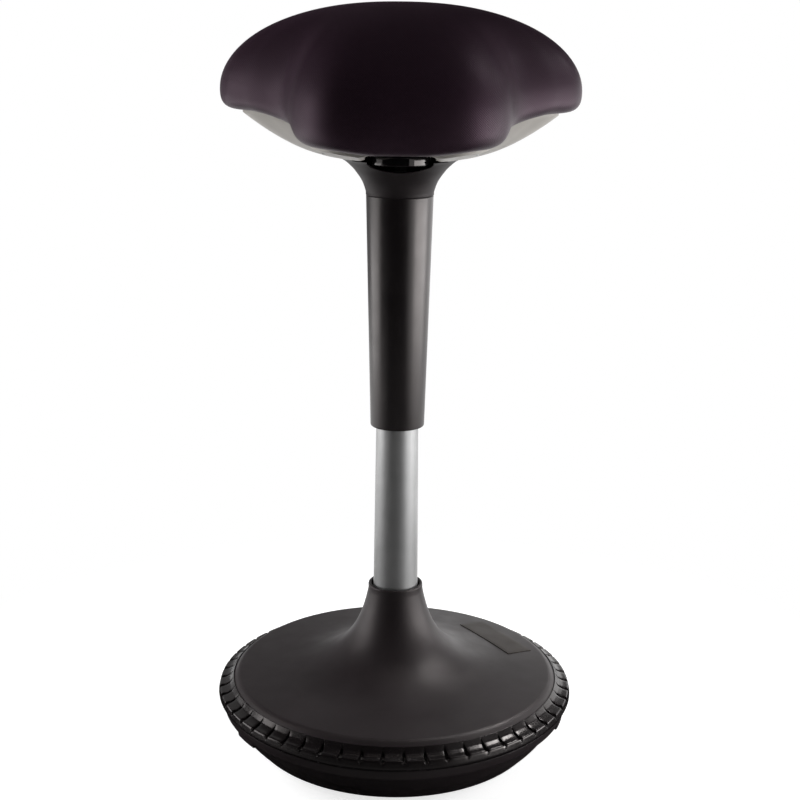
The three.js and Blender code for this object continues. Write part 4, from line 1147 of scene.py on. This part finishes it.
def make_shell(stations):
    """The bowl: one even wall with the hub's hole, the finger channel and the screw holes."""
    shares = [i / BOWL_STEPS for i in range(BOWL_STEPS + 1)]
    levels = (SHELL_FOOT, SHELL_FOOT + SHELL_WALL)
    hole = [[at_station(s, HUB_HOLE, z) for s in stations] for z in levels]
    lower = channelled_bowl(stations, shares, 0, SHELL_FOOT, 0)
    upper = channelled_bowl(stations, reversed(shares), SHELL_WALL, SHELL_FOOT, 1.2)
    rings = [hole[0], *lower, *upper, hole[1]]
    shell = face_out(skin("shell_skin", rings, closed=True, angle=45))
    cutters = [block((-OPENING_HALF, OPENING_FRONT, 678), (OPENING_HALF, 0, 720))]
    for spot in shell_screws(stations):
        depth = spot.z + SCREW_HEAD_DEPTH - DRILL_FOOT
        cutters.append(rod(spot.xy, SCREW_HEAD_HOLE, DRILL_FOOT, depth, DRILL_SIDES))
        cutters.append(drill(spot.xy, SCREW_HOLE))
    carve(shell, cutters, angle=45)
    return shell


def make_seat_pan(stations):
    """The moulded pan between the bowl and the foam, as narrow at the nose as they are."""
    top_lift = PAN_LIFT + PAN_WALL
    top_height = PAN_FOOT + PAN_WALL
    lower = channelled_bowl(stations, PAN_SHARES, PAN_LIFT, PAN_FOOT, 1.6)
    upper = [bowl_ring(stations, share, top_lift, top_height) for share in reversed(PAN_SHARES)]
    rings = [[Vector((0, 0, PAN_FOOT))], *lower, *upper, [Vector((0, 0, top_height))]]
    pan = face_out(skin("seat_pan_skin", rings))
    cutters = [drill(spot.xy, SCREW_HOLE) for spot in shell_screws(stations)]
    for x in SEAT_BOLTS:
        cutters += [drill((x, y), SEAT_BOLT_HOLE) for y in SEAT_BOLTS]
    carve(pan, cutters)
    return pan


# Studio


def seen_directly(tree):
    """1 for camera, glossy and transmission rays, which see the white of the studio."""
    path = add_node(tree, "ShaderNodeLightPath")
    total = path.outputs["Is Camera Ray"]
    for kind in ("Is Glossy Ray", "Is Transmission Ray"):
        either = add_node(tree, "ShaderNodeMath", total, path.outputs[kind], operation="MAXIMUM")
        total = either.outputs[0]
    return total


def mixed_shader(tree, share, first, second):
    return add_node(tree, "ShaderNodeMixShader", share, first.outputs[0], second.outputs[0])


FLOOR_SPAN = (-9000, 9000)
FLOOR_TONE = (0.8, 0.8, 0.8, 1)
FLOOR_LIFT = 0.72
FLOOR_FADE = {"From Min": 0.25, "From Max": 0.7}


def make_floor():
    """A matt white floor that keeps the shadow near the object and is plain white further out."""
    floor = make_object("floor", *flat(FLOOR_SPAN, FLOOR_SPAN, 0))
    finish = bpy.data.materials.new("floor_paint")
    tree = empty_tree(finish)
    matt = add_node(tree, "ShaderNodeBsdfDiffuse", values={"Color": FLOOR_TONE})
    lift = add_node(tree, "ShaderNodeEmission", values={"Strength": FLOOR_LIFT})
    near = add_node(tree, "ShaderNodeAddShader", matt.outputs[0], lift.outputs[0])
    white = add_node(tree, "ShaderNodeEmission", values={"Strength": 1})
    place = add_node(tree, "ShaderNodeTexCoord").outputs["Object"]
    length = add_node(tree, "ShaderNodeVectorMath", place, operation="LENGTH").outputs["Value"]
    fade = add_node(tree, "ShaderNodeMapRange", length, values=FLOOR_FADE)
    fade.interpolation_type = "SMOOTHSTEP"
    toned = mixed_shader(tree, fade.outputs["Result"], near, white)
    mix = mixed_shader(tree, seen_directly(tree), matt, toned)
    add_node(tree, "ShaderNodeOutputMaterial", mix.outputs[0])
    floor.data.materials.append(finish)


def make_card(name, corners, faces, glow=0.0, diffuse=False, shadow=False):
    """A black or grey card of the studio, which reflections see and the camera doesn't."""
    card = make_object(name, corners, faces)
    finish = bpy.data.materials.new(name + "_paint")
    tree = empty_tree(finish)
    face = add_node(tree, "ShaderNodeEmission", values={"Strength": glow})
    add_node(tree, "ShaderNodeOutputMaterial", face.outputs[0])
    card.data.materials.append(finish)
    card.visible_camera = False
    card.visible_diffuse = diffuse
    card.visible_shadow = shadow
    card.visible_transmission = False


def flat(x, y, z):
    """A level rectangle between two x values and two y values."""
    return [(x[0], y[0], z), (x[1], y[0], z), (x[1], y[1], z), (x[0], y[1], z)], [(0, 1, 2, 3)]


def bent(radius, first, last, foot, top, steps=8):
    """An upright screen bent round the object, between two azimuths from the camera's side."""
    corners = []
    for azimuth in turns(first, last, steps):
        for z in (foot, top):
            corners.append((radius * math.sin(azimuth), -radius * math.cos(azimuth), z))
    return corners, [(2 * i, 2 * i + 2, 2 * i + 3, 2 * i + 1) for i in range(steps)]


def make_cards():
    make_card("ceiling", *flat((-4000, 4000), (-4000, 4000), 3200))
    make_card("side_floor", *flat((-860, 900), (-1400, 400), 1.2))
    make_card("front_floor", *flat((-620, 520), (-1400, -210), 1.6), glow=0.12, diffuse=True)
    make_card("curtain", *bent(1450, -72, 34, 0, 3200))
    make_card("left_screen", *bent(1900, -125, -72, 1250, 3200))
    make_card("left_glow", *bent(1880, -103, -76, 700, 1120), glow=3.2)
    make_card("left_edge", *bent(1890, -125, -103, 450, 1250))
    make_card("right_screen", *bent(1900, 34, 116, 760, 3200), glow=0.12)
    make_card("back_top", *bent(900, 115, 260, 950, 2600, 16))
    make_card("back_left", *bent(2400, 180, 240, 0, 3200), glow=0.25)
    make_card("back_right", *bent(2400, 114, 180, 0, 900), glow=1.4)
    make_card("back_upper", *bent(2400, 114, 180, 900, 3200), glow=0.12)
    make_card("top_glow", *flat((610, 1110), (180, 680), 1400), glow=16)
    make_card("flag", *flat((170, 500), (-20, 300), 1000), shadow=True)


WORLD_LIGHT = 0.08


def make_world():
    """White where it is seen directly, and only a little light from it elsewhere."""
    world = bpy.data.worlds.new("studio")
    scene.world = world
    tree = empty_tree(world)
    dim, white = (
        add_node(tree, "ShaderNodeBackground", values={"Color": (1, 1, 1, 1), "Strength": light})
        for light in (WORLD_LIGHT, 1)
    )
    mix = mixed_shader(tree, seen_directly(tree), dim, white)
    add_node(tree, "ShaderNodeOutputWorld", mix.outputs[0])


def make_lamp(name, place, target, size, power, glossy=True):
    """A rectangular lamp that faces its target."""
    data = bpy.data.lights.new(name, "AREA")
    data.shape = "RECTANGLE"
    data.size, data.size_y = (length * MM for length in size)
    data.energy = power
    lamp = bpy.data.objects.new(name, data)
    scene.collection.objects.link(lamp)
    lamp.location = Vector(place) * MM
    aim = Vector(target) * MM - lamp.location
    lamp.rotation_euler = aim.to_track_quat("-Z", "Y").to_euler()
    lamp.visible_glossy = glossy


def make_lamps():
    """Lamps by name, place, aim, size and watts. False hides one from reflections."""
    make_lamp("left_strip", (-1500, 270, 215), (0, 0, 215), (1150, 420), 3.2)
    make_lamp("left_box", (-1700, 150, 1000), (0, 0, 600), (1100, 1300), 27, False)
    make_lamp("right_box", (1650, -230, 330), (0, 0, 330), (1700, 540), 14.3)
    make_lamp("right_fill", (1650, -230, 1150), (0, 0, 600), (1700, 800), 15, False)
    make_lamp("side_top", (860, 430, 1420), (100, -100, 450), (500, 500), 5.2)
    make_lamp("top_box", (0, -300, 2600), (0, 0, 400), (1200, 1200), 2.5, False)


# Assembly

make_camera()
finishes = {name: moulded(name, *values) for name, values in MOULDED.items()}
finishes |= {name: metal(name, *values) for name, values in METALS.items()}
finishes["seat_fabric"] = knitted()

for row in frame["record"]["subparts"]:
    paint(nodes[row["node"]], row["material_slot"])

stations = make_stations()
dress(make_pan(), "base", "black_plastic", "base_pan")
dress(make_cover(), "base", "black_plastic", "base_cover")
dress(make_plate(), "base", "plate", "blank_plate")
dress(make_tread(), "base", "tread_rubber", "tread_ring")
dress(make_tube(), "base", "silver_tube", "column_tube")
dress(make_sleeve(), "seat", "black_plastic", "column_sleeve", look="column_plastic")
dress(make_head(), "seat", "black_plastic", "column_head", look="head_plastic")
dress(make_paddle(), "lever", "lever_gloss", "release_lever")
dress(make_shell(stations), "seat", "shell_plastic", "seat_shell")
dress(make_seat_pan(stations), "seat", "guide_plastic", "seat_pan")
cushion = make_cushion(stations)
dress(cushion, "seat", "seat_fabric", "seat_cover", "seat_foam")

make_floor()
make_cards()
make_world()
make_lamps()
scene.view_settings.view_transform = "Standard"
